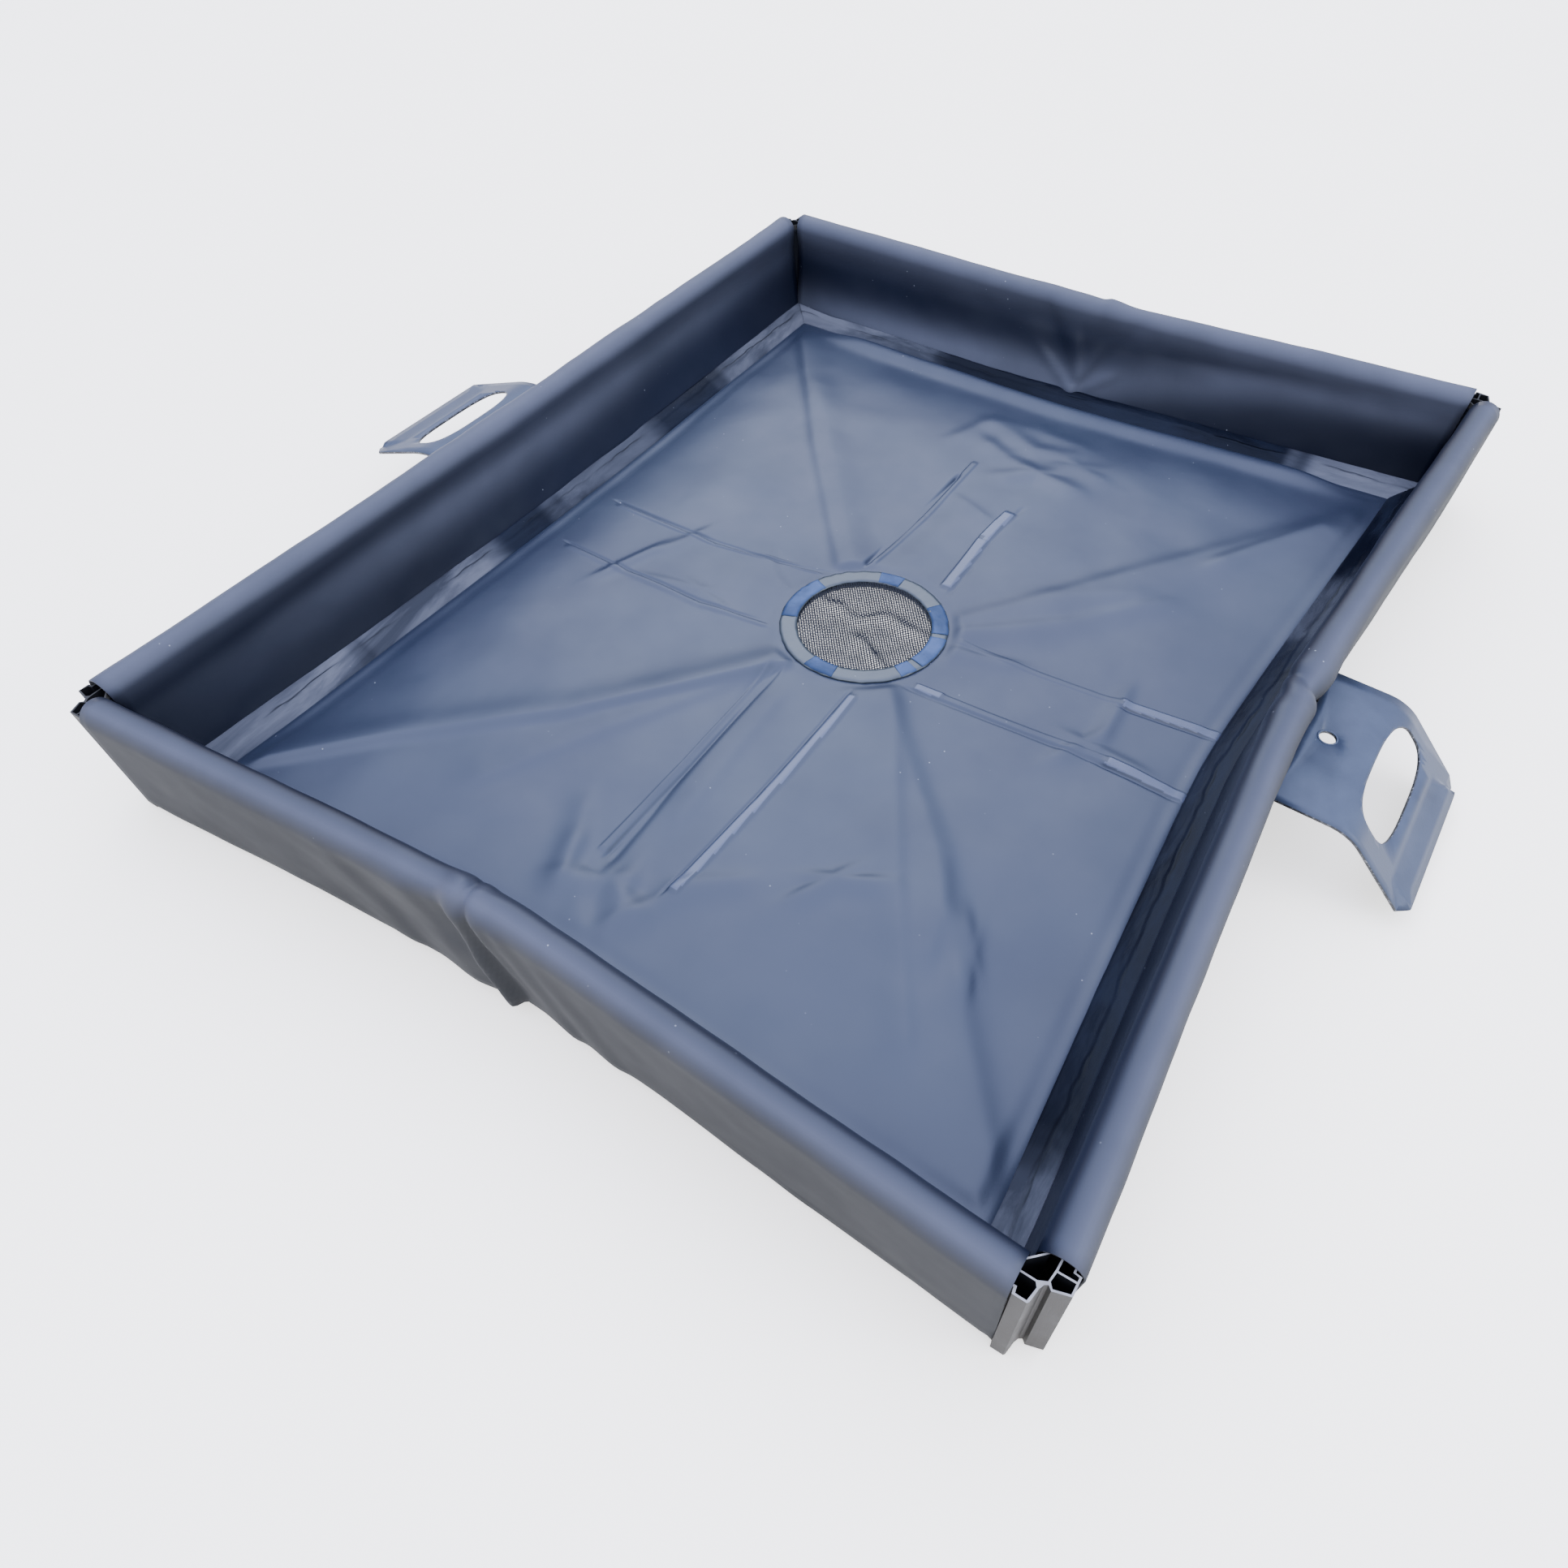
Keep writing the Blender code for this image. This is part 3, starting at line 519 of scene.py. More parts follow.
def grid_faces(rows, columns, close=False, keep=None):
    """Quads over a grid of rows by columns; the columns may close into a loop."""
    faces = []
    last = columns if close else columns - 1
    for i in range(rows - 1):
        for j in range(last):
            if keep is None or keep(i, j):
                k = (j + 1) % columns
                faces.append((i * columns + j, i * columns + k, (i + 1) * columns + k, (i + 1) * columns + j))
    return faces


def solidify(obj, thickness, offset=-1.0, rim_slot=0):
    """Give a surface real thickness."""
    modifier = obj.modifiers.new("thickness", "SOLIDIFY")
    modifier.thickness = thickness
    modifier.offset = offset
    modifier.material_offset_rim = rim_slot


def metres(points):
    """Points from millimetres."""
    return [(x / 1000.0, y / 1000.0) for x, y in points]


def in_metres(table):
    """A table of paths, widths and heights from millimetres; what comes after them stays."""
    return [(metres(path), width / 1000.0, height / 1000.0, *rest) for path, width, height, *rest in table]


def fill_loops(loops):
    """A flat bmesh, filled between an outline and the holes in it."""
    bm = bmesh.new()
    for loop in loops:
        verts = [bm.verts.new((x, y, 0.0)) for x, y in loop]
        for a, b in zip(verts, verts[1:] + verts[:1]):
            bm.edges.new((a, b))
    bmesh.ops.triangle_fill(bm, use_beauty=True, use_dissolve=False, edges=bm.edges)
    return bm


def sweep(verts, faces, path, radius, sides=5):
    """Add a thin tube along a path to lists of vertices and faces."""
    start = len(verts)
    for i, point in enumerate(path):
        ahead = path[min(i + 1, len(path) - 1)] - path[max(i - 1, 0)]
        side = ahead.cross(Vector((0.0, 0.0, 1.0))).normalized()
        over = side.cross(ahead).normalized()
        for k in range(sides):
            turn = 2.0 * math.pi * k / sides
            verts.append(point + (side * math.cos(turn) + over * math.sin(turn)) * radius)
    for i in range(len(path) - 1):
        for k in range(sides):
            m = (k + 1) % sides
            a = start + i * sides
            faces.append((a + k, a + m, a + sides + m, a + sides + k))


def place_in_wall(wall):
    """The matrix that takes a wall's own frame to the CAD's frame."""
    turn = math.pi / 2 * WALLS.index(wall)
    place = Vector((CENTRE_X + REACH[wall] * math.sin(turn), -REACH[wall] * math.cos(turn), 0.0))
    return Matrix.Translation(place) @ Matrix.Rotation(turn, 4, "Z")


def soft_step(value, low, high):
    """0 below low, 1 above high, smooth between."""
    t = np.clip((value - low) / (high - low), 0.0, 1.0)
    return t * t * (3.0 - 2.0 * t)


def wander(along, seed, scale=20.0):
    """Smooth noise along a line, about -1 to 1."""
    return noise.noise(Vector((along * scale, seed * 7.3, seed * 3.1)))


def fold(x, y, path, width, height, spread=1.0, fade=0.02):
    """Height of a crease along a path of points: steep on its left side, spread out on its right."""
    total = np.zeros_like(x)
    for (x0, y0), (x1, y1) in zip(path, path[1:]):
        long = math.hypot(x1 - x0, y1 - y0)
        ux, uy = (x1 - x0) / long, (y1 - y0) / long
        along = (x - x0) * ux + (y - y0) * uy
        across = (x - x0) * uy - (y - y0) * ux
        beyond = np.maximum(np.maximum(-along, along - long), 0.0) / fade
        scaled = np.where(across > 0.0, across / (width * spread), across / width)
        total = np.maximum(total, np.exp(-scaled * scaled - beyond * beyond))
    return height * total


def band(x, y, path, width, height, edge=0.0012):
    """Height of a flat-topped welded band along a path."""
    total = np.zeros_like(x)
    for (x0, y0), (x1, y1) in zip(path, path[1:]):
        long = math.hypot(x1 - x0, y1 - y0)
        ux, uy = (x1 - x0) / long, (y1 - y0) / long
        along = (x - x0) * ux + (y - y0) * uy
        across = np.abs((x - x0) * uy - (y - y0) * ux)
        beyond = np.maximum(-along, along - long)
        inside = 1.0 - soft_step(across, width / 2 - edge, width / 2 + edge)
        total = np.maximum(total, inside * (1.0 - soft_step(beyond, -edge, edge)))
    return height * total


# ---------------------------------------------------------------- walls


def kink_shift(wall, along, up):
    """How far the wall bows inwards at a place along it, rounded at the peak."""
    end = SPAN[wall] / 2 - CORNER_NOTCH - lean_shift(up)
    soft = KINK_ROUND[wall]
    t = min(abs(along) / end, 1.0)
    drop = (math.sqrt(t * t + soft * soft) - soft) / (math.sqrt(1.0 + soft * soft) - soft)
    return KINK[wall] * (1.0 - drop)


def lean_shift(z):
    """How far a leaning wall sits inwards at a height."""
    return WALL_LEAN * (TOP_CENTRE_Z - z) / (TOP_CENTRE_Z - WALL_FOOT)


def inner_face(wall, z, along=0.0):
    """How far in the wall's inner face is at a height: pinched under the roll, flared at its foot."""
    places, flares = zip(*FLARE[wall])
    pinch = PINCH * math.exp(-(((z - PINCH_Z) / PINCH_SPREAD) ** 2))
    flare = float(np.interp(along, places, flares)) * max(0.0, 1.0 - (z - WALL_FOOT) / FLARE_REACH) ** 2
    return WALL_THICKNESS + lean_shift(z) - pinch + flare


def wall_profile(wall, along=0.0):
    """Cross-section as (inward, up) points, from the outer foot over the top and round underneath."""
    points = []
    heights = [WALL_FOOT + (SLOT_BOTTOM - WALL_FOOT) * i / OUTER_STEPS for i in range(OUTER_STEPS)]
    heights += [SLOT_BOTTOM + (SLOT_TOP - SLOT_BOTTOM) * i / SLOT_STEPS for i in range(SLOT_STEPS + 1)]
    for z in heights:
        points.append((lean_shift(z), z))
    for i in range(ROLL_STEPS + 1):
        turn = math.pi * (1.0 - i / ROLL_STEPS)
        points.append((ROUND_TOP + ROUND_TOP * math.cos(turn), TOP_CENTRE_Z + ROUND_TOP * math.sin(turn)))
    for i in range(1, INNER_STEPS + 1):
        z = TOP_CENTRE_Z + (WALL_FOOT - TOP_CENTRE_Z) * i / INNER_STEPS
        points.append((inner_face(wall, z, along), z))
    return points + UNDERSIDE


def section_places(wall):
    """Places along a wall where a section stands: closer together near the kink, and at the slot's ends."""
    end = SPAN[wall] / 2 - CORNER_NOTCH
    places = set()
    count = 150
    for i in range(count + 1):
        t = 2.0 * i / count - 1.0
        places.add(round(end * (0.45 * t + 0.55 * t * abs(t)), 5))
    if wall in HANDLE_SWING:
        places = {p for p in places if abs(abs(p) - SLOT_HALF) > 0.0015}
        places |= {-SLOT_HALF, SLOT_HALF}
    return sorted(places)


# Creases on each wall in millimetres: ((along, girth) path, width, height), and the spread. Girth
# runs from the outer foot, 0, over the top to the inner foot; heights stand out from the cloth.
WALL_CREASES = {
    "front": [
        ([(-64, 78), (-46, 46), (-30, 4)], 9, 2.4, 2.6),
        ([(-20, 90), (-14, 56), (4, 2)], 2.6, 4.2, 6.0),
        ([(-6, 36), (6, 0)], 3.6, 5, 15.0),
        ([(-30, 70), (-20, 40), (-8, 2)], 5, -2.8, 1.4),
        ([(-6, 84), (0, 66), (8, 48)], 3, 1.8, 3.0),
        ([(16, 66), (34, 34), (52, 2)], 8, 2.6, 2.4),
        ([(52, 50), (70, 26), (86, 2)], 9, 2, 2.4),
        ([(-122, 60), (-104, 36), (-88, 4)], 10, 2.2, 2.4),
        ([(-26, 92), (-18, 94), (-10, 90)], 3, 1.8, 1.8),
        ([(-17, 96), (-14, 87), (-10, 76)], 2.8, -1.3, 2.0),
        ([(-7, 98), (-4, 89), (0, 78)], 3.6, 1, 2.5),
    ],
    "right": [
        ([(-18, 94), (-24, 110), (-34, 124)], 9, 1.4, 1.8),
        ([(2, 96), (-4, 114), (-10, 132)], 10, -1.4, 1.6),
        ([(4, 74), (6, 86), (12, 100)], 4.5, -3, 1.6),
        ([(-6, 80), (-4, 90), (2, 102)], 5, 1.4, 1.8),
        ([(30, 88), (20, 108), (22, 134)], 12, 1.4, 2.0),
        ([(-80, 94), (-40, 88), (10, 94)], 8, -1.2, 1.4),
        ([(-120, 50), (-80, 70), (-30, 82)], 12, 1.6, 2.0),
        ([(120, 50), (80, 70), (30, 82)], 12, 1.6, 2.0),
    ],
    "back": [
        ([(6, 150), (2, 170), (2, 196)], 6, 2.6, 2.4),
        ([(-10, 166), (-4, 178), (0, 194)], 5, 2.4, 1.6),
        ([(40, 126), (22, 154), (4, 184)], 9, -2.2, 2.2),
        ([(-46, 118), (-28, 150), (-8, 184)], 11, -2, 2.4),
        ([(30, 170), (14, 182), (4, 192)], 4, 1.6, 1.4),
        ([(-28, 176), (-14, 186), (-4, 193)], 4, 1.4, 1.4),
        ([(20, 86), (10, 100), (4, 118)], 12, 0.8, 1.6),
        ([(-14, 86), (-6, 50), (6, 4)], 5, 2.6, 3.5),
        ([(50, 70), (34, 40), (26, 4)], 10, 1.8, 2.2),
        ([(-80, 64), (-60, 36), (-46, 4)], 11, 1.8, 2.2),
    ],
    "left": [
        ([(30, 110), (10, 140), (-10, 180)], 20, 1.2, 2.0),
        ([(-160, 120), (-120, 150), (-100, 190)], 26, 1, 2.0),
        ([(82, 52), (110, 36), (150, 26)], 9, 1.4, 2.0),
        ([(-82, 52), (-112, 34), (-146, 22)], 10, 1.4, 2.0),
        ([(-60, 40), (0, 28), (64, 38)], 11, 1.2, 1.8),
    ],
}


# Columns of the section between which the outer look ends, the one where each wall's painted highlight
# on the roll and top ends, and how many columns that highlight takes to fade.
OUTER_LOOK_ENDS = (15.0, 33.0)
HIGHLIGHT_END = {"front": 33.0, "right": 33.0, "back": 45.0, "left": 42.0}
HIGHLIGHT_FADE = 12.0

# Painted sheen on two walls' inner faces, a pale band standing for a reflection: (along, height up, strength)
# along the wall.
PAINTED_SHEEN_REACH = 0.020
PAINTED_SHEEN = {
    "back": [
        (-0.36, 0.088, 0.45),
        (-0.20, 0.072, 0.36),
        (-0.06, 0.042, 0.45),
        (0.02, 0.024, 0.50),
        (0.20, 0.018, 0.48),
        (0.34, 0.016, 0.36),
    ],
    "left": [
        (-0.44, 0.082, 0.10),
        (-0.28, 0.078, 0.30),
        (-0.02, 0.070, 0.42),
        (0.18, 0.066, 0.40),
        (0.32, 0.060, 0.16),
        (0.43, 0.050, 0.0),
    ],
}


def painted_sheen(wall, along, up):
    """How strong the painted sheen is at a place on a wall's inner face."""
    if wall not in PAINTED_SHEEN:
        return 0.0
    places, heights, strengths = zip(*PAINTED_SHEEN[wall])
    height = float(np.interp(along, places, heights))
    strength = float(np.interp(along, places, strengths))
    return strength * math.exp(-(((up - height) / PAINTED_SHEEN_REACH) ** 2))


def outer_and_highlight_weight(wall, column):
    """How much of the outer look and the painted highlight a column of the section takes: fully outside, half
    on the roll, fading inside.
    """
    over = 1.0 - float(soft_step(np.float64(column), *OUTER_LOOK_ENDS))
    end = HIGHLIGHT_END[wall]
    top = 0.5 * (1.0 - float(soft_step(np.float64(column), end - HIGHLIGHT_FADE, end)))
    return max(over, top)


def crease_heights(wall, places, girth):
    """How far the creases push the cloth out, over the places along a wall and round its section."""
    along, around = np.meshgrid(places, girth, indexing="ij")
    lift = np.zeros_like(along)
    for path, width, height, spread in in_metres(WALL_CREASES[wall]):
        lift += fold(along, around, path, width, height, spread)
    return lift


def cloth_wave(place, around, seed):
    """The cloth's own broad and fine waves."""
    wave = 0.0011 * noise.noise(Vector((place * 9.0, around * 16.0, seed)))
    wave += 0.0004 * noise.noise(Vector((place * 40.0, around * 60.0, seed)))
    return wave


def outer_and_highlight_weights(wall, places, profile):
    """The weight of the outer look, the painted highlight and the painted sheen on each point of a wall's
    sleeve.
    """
    weights = []
    for place in places:
        for j, (inward, up) in enumerate(profile):
            if j > LAST_INNER_COLUMN:
                weights.append(1.0)
            elif j > LAST_ROLL_COLUMN:
                # Inner faces take the painted sheen where it is stronger than the painted highlight of the
                # top.
                weights.append(max(outer_and_highlight_weight(wall, j), painted_sheen(wall, place, up)))
            else:
                weights.append(outer_and_highlight_weight(wall, j))
    return weights


def wrap_points(wall, places, girth):
    """A sleeve's points: each section pushed out by creases and waves, then bowed and leaning."""
    lift = crease_heights(wall, places, girth)
    count = len(girth)
    end = places[-1]
    seed = 1.7 + WALLS.index(wall)
    verts = []
    for i, place in enumerate(places):
        section = wall_profile(wall, place)
        lean = END_LEAN.get((wall, place > 0.0), 1.0)
        calm = min(1.0, (end - abs(place)) / CALM_REACH)
        for j, (inward, up) in enumerate(section):
            before, after = section[j - 1], section[(j + 1) % count]
            out = Vector((-(after[1] - before[1]), after[0] - before[0])).normalized()
            push = calm * (lift[i, j] + cloth_wave(place, girth[j], seed))
            x = place - lean * lean_shift(up) * place / end
            y = inward + out.x * push + kink_shift(wall, place, up)
            z = up + out.y * push
            verts.append((x, y, max(z, LOWEST_CLOTH)))
    return verts


def make_wrap(wall, material):
    """A wall's cloth sleeve, with its bow, wrinkles and the handle's slot."""
    profile = wall_profile(wall)
    places = section_places(wall)
    girth = [0.0]
    for (a, b), (c, d) in zip(profile, profile[1:]):
        girth.append(girth[-1] + math.hypot(c - a, d - b))

    def keep(i, j):
        if wall not in HANDLE_SWING:
            return True
        middle = (places[i] + places[i + 1]) / 2
        return not (abs(middle) < SLOT_HALF and OUTER_STEPS <= j < OUTER_STEPS + SLOT_STEPS)

    faces = grid_faces(len(places), len(profile), close=True, keep=keep)
    wrap = link_mesh(f"cloth_wall_{wall}", wrap_points(wall, places, girth), faces, material)
    # The weight carries the outer look, the painted highlight on the roll and top, and the painted sheen.
    add_weight(wrap, "outside", outer_and_highlight_weights(wall, places, profile))
    wrap.data.transform(place_in_wall(wall))
    solidify(wrap, CLOTH)
    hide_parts(f"wall_wrap_{wall}")
    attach(wrap, "pan")


# Stretches of each wall's tape that are hazed with glue: (start, stop, how much).
TAPE_HAZE = {
    "front": [(-0.40, 0.40, 0.3)],
    "right": [(-0.50, -0.36, 0.8), (0.16, 0.26, 0.3)],
    "back": [(0.15, 0.40, 0.8), (-0.42, -0.24, 1.0)],
    "left": [(-0.50, -0.26, 0.9), (-0.14, 0.02, 0.4), (0.10, 0.26, 0.8), (0.26, 0.50, 1.0)],
}


def tape_haze(wall, along, seed):
    """How hazed a wall's tape is at a place along it."""
    ragged = along + 0.02 * wander(along, seed, 60.0)
    total = 0.0
    for start, stop, much in TAPE_HAZE[wall]:
        inside = soft_step(np.float64(ragged), start - 0.02, start + 0.02)
        inside *= 1.0 - soft_step(np.float64(ragged), stop - 0.02, stop + 0.02)
        total = max(total, much * float(inside))
    return total


def glued_edge(along, seed):
    """Where the tape's glued edge lies across it, and how strongly the glue has cracked there."""
    edge = 0.46 + 0.10 * wander(along, seed, 9.0) + 0.07 * wander(along, seed + 3, 70.0)
    strength = min(1.0, max(0.0, 2.2 * wander(along, seed + 5, 22.0) + 0.45))
    return edge, strength


def strip_relief(along, across, edge, strength, seed):
    """Height of the tape's step, crack, crumples and hump over its plain slope."""
    step = float(soft_step(np.float64(edge - across), -0.03, 0.03))
    crack = math.exp(-(((across - edge) / 0.032) ** 2)) * strength
    crumple = noise.noise(Vector((along * 50.0, across * 2.0, seed)))
    crumple += 0.4 * noise.noise(Vector((along * 160.0, across * 6.0, seed + 9)))
    hump = 0.0009 * math.sin(math.pi * across)
    rim = min(1.0, min(across, 1.0 - across) / 0.08)
    return 0.0006 * step + 0.0011 * crack + 0.00022 * crumple + hump - 0.0008 * (1.0 - rim)


def make_strip(wall, material):
    """The tape over the floor seam: two overlapping flaps with an uneven glued edge between them."""
    half = SPAN[wall] / 2 - STRIP_MITRE_GAP
    seed = 20.0 + WALLS.index(wall)
    verts, seams, haze = [], [], []
    for i in range(STRIP_ROWS):
        t = 2.0 * i / (STRIP_ROWS - 1) - 1.0
        for j in range(STRIP_COLUMNS):
            across = j / (STRIP_COLUMNS - 1)
            tuck = inner_face(wall, STRIP_TOP_Z, t * half) - 0.0008
            inward = tuck + (STRIP_FOOT_IN + 0.001 - tuck) * across
            height = STRIP_TOP_Z + 0.0010 + (STRIP_FOOT_Z + 0.0006 - STRIP_TOP_Z) * across
            along = t * (half - inward)
            edge, strength = glued_edge(along, seed)
            seams.append(math.exp(-(((across - edge + 0.045) / 0.030) ** 2)) * strength)
            haze.append(tape_haze(wall, along, seed + 7))
            height += strip_relief(along, across, edge, strength, seed)
            verts.append((along, inward + kink_shift(wall, along, height), height))
    strip = link_mesh(f"weld_tape_{wall}", verts, grid_faces(STRIP_ROWS, STRIP_COLUMNS), material)
    add_weight(strip, "seam", seams)
    add_weight(strip, "haze", haze)
    strip.data.transform(place_in_wall(wall))
    solidify(strip, STRIP_THICKNESS)
    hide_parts(f"weld_strip_{wall}")
    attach(strip, "pan")


def make_cores(wall, material):
    """The two foam boards inside a wall, which follow its bow."""
    end = SPAN[wall] / 2 - CORNER_NOTCH - CORE_END_CLEARANCE
    inset = CLOTH + 0.0006
    count = len(wall_profile(wall))
    for half, start, stop in (("a", -end, -CORE_POCKET[wall]), ("b", CORE_POCKET[wall], end)):
        verts = []
        for i in range(CORE_STEPS + 1):
            along = start + (stop - start) * i / CORE_STEPS
            section = wall_profile(wall, along)
            for j in range(0, count, 2):
                inward, up = section[j]
                before, after = section[j - 1], section[(j + 1) % count]
                into = Vector((after[1] - before[1], before[0] - after[0])).normalized() * inset
                height = up + into.y
                verts.append((along, inward + into.x + kink_shift(wall, along, up), height))
        ring = len(range(0, count, 2))
        faces = grid_faces(CORE_STEPS + 1, ring, close=True)
        faces.append(tuple(range(ring)))
        faces.append(tuple(CORE_STEPS * ring + k for k in range(ring)))
        core = link_mesh(f"foam_core_{wall}_{half}", verts, faces, material)
        core.data.transform(place_in_wall(wall))
        core.data.set_sharp_from_angle(angle=math.radians(35.0))
        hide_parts(f"wall_core_{wall}_{half}")
        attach(core, "pan")


# ---------------------------------------------------------------- corners


def place_in_corner(corner):
    """The matrix of a corner's frame: both axes run inwards from the corner, along the walls."""
    side_x, side_y = CORNERS[corner]
    turns = {(-1, -1): 0.0, (1, -1): math.pi / 2, (1, 1): math.pi, (-1, 1): -math.pi / 2}
    place = Vector((CENTRE_X + side_x * WIDTH / 2, side_y * LENGTH / 2, 0.0))
    return Matrix.Translation(place) @ Matrix.Rotation(turns[(side_x, side_y)], 4, "Z")


def post_outline():
    """The post's outline and chambers, as loops in the corner's frame."""
    outline = [(44, 4.4), (44, 19.4), (27.8, 19.4), (19.4, 27.8), (19.4, 44), (4.4, 44), (4.4, 26.2)]
    outline += [(1, 25.6), (1, 17.8), (2, 17), (9.8, 15.8), (12.8, 14.6), (14, 12.8), (12, 10.6)]
    outline += [(14.8, 1), (25.6, 1), (26.2, 4.4)]
    main = [(13.7, 42.8), (13.2, 18.2), (14.2, 16), (15.3, 13.7), (22.4, 12.9), (42.8, 12.6)]
    main += [(42.8, 18.4), (27.4, 18.4), (18.4, 27.4), (18.4, 42.8)]
    small = [(5.5, 42.8), (5.5, 25), (2.1, 24.4), (2.1, 18.4), (9.8, 17), (12.2, 18.6), (12.7, 42.8)]
    near = [(13.3, 10.5), (15.7, 2.1), (21.4, 2.1), (21.2, 11.9), (15.8, 12.7)]
    far = [(22.5, 2.1), (24.9, 2.1), (25.5, 5.5), (42.8, 5.5), (42.8, 11.5), (22.3, 11.8)]
    return [metres(loop) for loop in (outline, main, small, near, far)]


def post_faces(loops, caps, count):
    """The post's faces, each with its material slot: plastic, chambers near black as painted shade, sawn top.
    """
    faces, slots = [], []
    for index, loop in enumerate(loops):
        for level in range(POST_LEVELS):
            for a, b in zip(loop, loop[1:] + loop[:1]):
                base = level * count
                faces.append((base + a, base + b, base + count + b, base + count + a))
                # Chamber walls take slot 1, near black as painted shade.
                slots.append(1 if index else 0)
    for cap in caps:
        faces.append(tuple(POST_LEVELS * count + k for k in cap))
        slots.append(2)
        faces.append(tuple(reversed(cap)))
        slots.append(0)
    return faces, slots


def make_post(corner, plastic, hollow, rim):
    """A hollow leaning plastic post with thin webs, chambers darkened as painted shade and a roughly sawn
    top.
    """
    outlines = post_outline()
    bm = fill_loops(outlines)
    flat = [(vert.co.x, vert.co.y) for vert in bm.verts]
    bm.verts.index_update()
    caps = [[vert.index for vert in face.verts] for face in bm.faces]
    bm.free()
    loops, at = [], 0
    for loop in outlines:
        loops.append(list(range(at, at + len(loop))))
        at += len(loop)
    lean = POST_LEAN.get(corner, (1.0, 1.0))
    top = TOP_CENTRE_Z + POST_PROUD
    seed = 3.0 * list(CORNERS).index(corner)
    verts = []
    for level in range(POST_LEVELS + 1):
        for x, y in flat:
            low = WALL_FOOT + LEG_CLEARANCE if max(x, y) > LEG_EDGE else POST_BOTTOM
            z = low + (top - low) * level / POST_LEVELS
            if level == POST_LEVELS:
                z += 0.0009 * noise.noise(Vector((x * 260.0, y * 260.0, seed)))
            verts.append((x + lean[0] * lean_shift(z), y + lean[1] * lean_shift(z), z))
    faces, slots = post_faces(loops, caps, len(flat))
    post = link_mesh(f"sawn_post_{corner}", verts, faces, plastic, hollow, rim)
    for face, slot in zip(post.data.polygons, slots):
        face.material_index = slot
    tidy = bmesh.new()
    tidy.from_mesh(post.data)
    bmesh.ops.recalc_face_normals(tidy, faces=tidy.faces)
    tidy.to_mesh(post.data)
    tidy.free()
    post.data.set_sharp_from_angle(angle=math.radians(32.0))
    post.data.transform(place_in_corner(corner))
    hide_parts(f"corner_post_{corner}")
    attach(post, "pan")


def make_gusset(corner, material):
    """The cloth web that closes an inner corner, from inside one wall's end to inside the other's, coloured
    near black as painted shade in the slit.
    """
    high = TOP_CENTRE_Z + 0.001
    seed = 50.0 + list(CORNERS).index(corner)
    places = [(0.0400, 0.0206), (0.0330, 0.0206), (0.0284, 0.0206), (0.0264, 0.0219), (0.0243, 0.0240)]
    places += [(y, x) for x, y in places[-2::-1]]
    lean = POST_LEAN.get(corner, (1.0, 1.0))
    verts = []
    for i in range(GUSSET_ROWS + 1):
        z = GUSSET_BOTTOM + (high - GUSSET_BOTTOM) * i / GUSSET_ROWS
        for k, (x, y) in enumerate(places):
            ripple = 0.0002 * noise.noise(Vector((z * 80.0, k * 0.7, seed)))
            verts.append((x + ripple + lean[0] * lean_shift(z), y + ripple + lean[1] * lean_shift(z), z))
    # The web's near-black look is painted shade for the deep slit at the corner.
    gusset = link_mesh(f"corner_gusset_{corner}", verts, grid_faces(GUSSET_ROWS + 1, len(places)), material)
    solidify(gusset, 0.0006, 0.0)
    gusset.data.transform(place_in_corner(corner))
    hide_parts(f"corner_web_{corner}")
    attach(gusset, "pan")


# ---------------------------------------------------------------- floor


# The floor's tables are in millimetres, from the pan's centre.
# Welded bands over the pockets' edges: (path, width, height).
# The shiny bands wear a glossier look whose lighter colour is partly painted highlight.
SHINY_BANDS = [
    ([(222, 25), (318, 30)], 9, 1.6),
    ([(236, -40), (320, -46)], 9, 1.6),
    ([(38, -80), (38, -210), (34, -316)], 8.5, 1.4),
    ([(36, 80), (32, 160), (36, 206)], 11.2, 1.6),
    ([(74, -43), (98, -42)], 8, 1.2),
]
DULL_BANDS = [
    ([(316, 34), (318, -50)], 6, 1),
    ([(-36, -88), (-32, -210), (-32, -312)], 7.5, 0.9),
    ([(-36, 78), (-31, 165), (-30, 262)], 6, 1),
    ([(98, -42), (160, -41), (236, -39)], 6, 0.7),
    ([(80, 22), (150, 23), (222, 25)], 5, 0.5),
    ([(-70, -43), (-136, -53), (-285, -51)], 5.5, 0.8),
    ([(-70, 41), (-174, 25), (-285, 24)], 5.5, 0.8),
]
# Narrow grooves beside the bands: (path, width, depth).
FLOOR_GROOVES = [
    ([(-64, 44), (-110, 34), (-174, 28), (-285, 28)], 1.6, 2.2),
    ([(-64, -39), (-136, -49), (-200, -48), (-285, -47)], 1.4, 1.4),
    ([(-40, 76), (-36, 165), (-34, 230)], 2, 3.4),
    ([(-30, -86), (-27, -210), (-27, -310)], 1.8, 1),
    ([(316, 22), (318, -40)], 1.4, 1.2),
    ([(72, -48), (160, -46), (236, -45)], 1.4, 1),
    ([(228, 20), (314, 24)], 1.2, 1),
    ([(238, -46), (316, -52)], 1.4, 1.4),
    ([(42, 78), (38, 160), (42, 214)], 1.4, 1),
    ([(33, -82), (33, -210), (29, -316)], 1.4, 1),
]

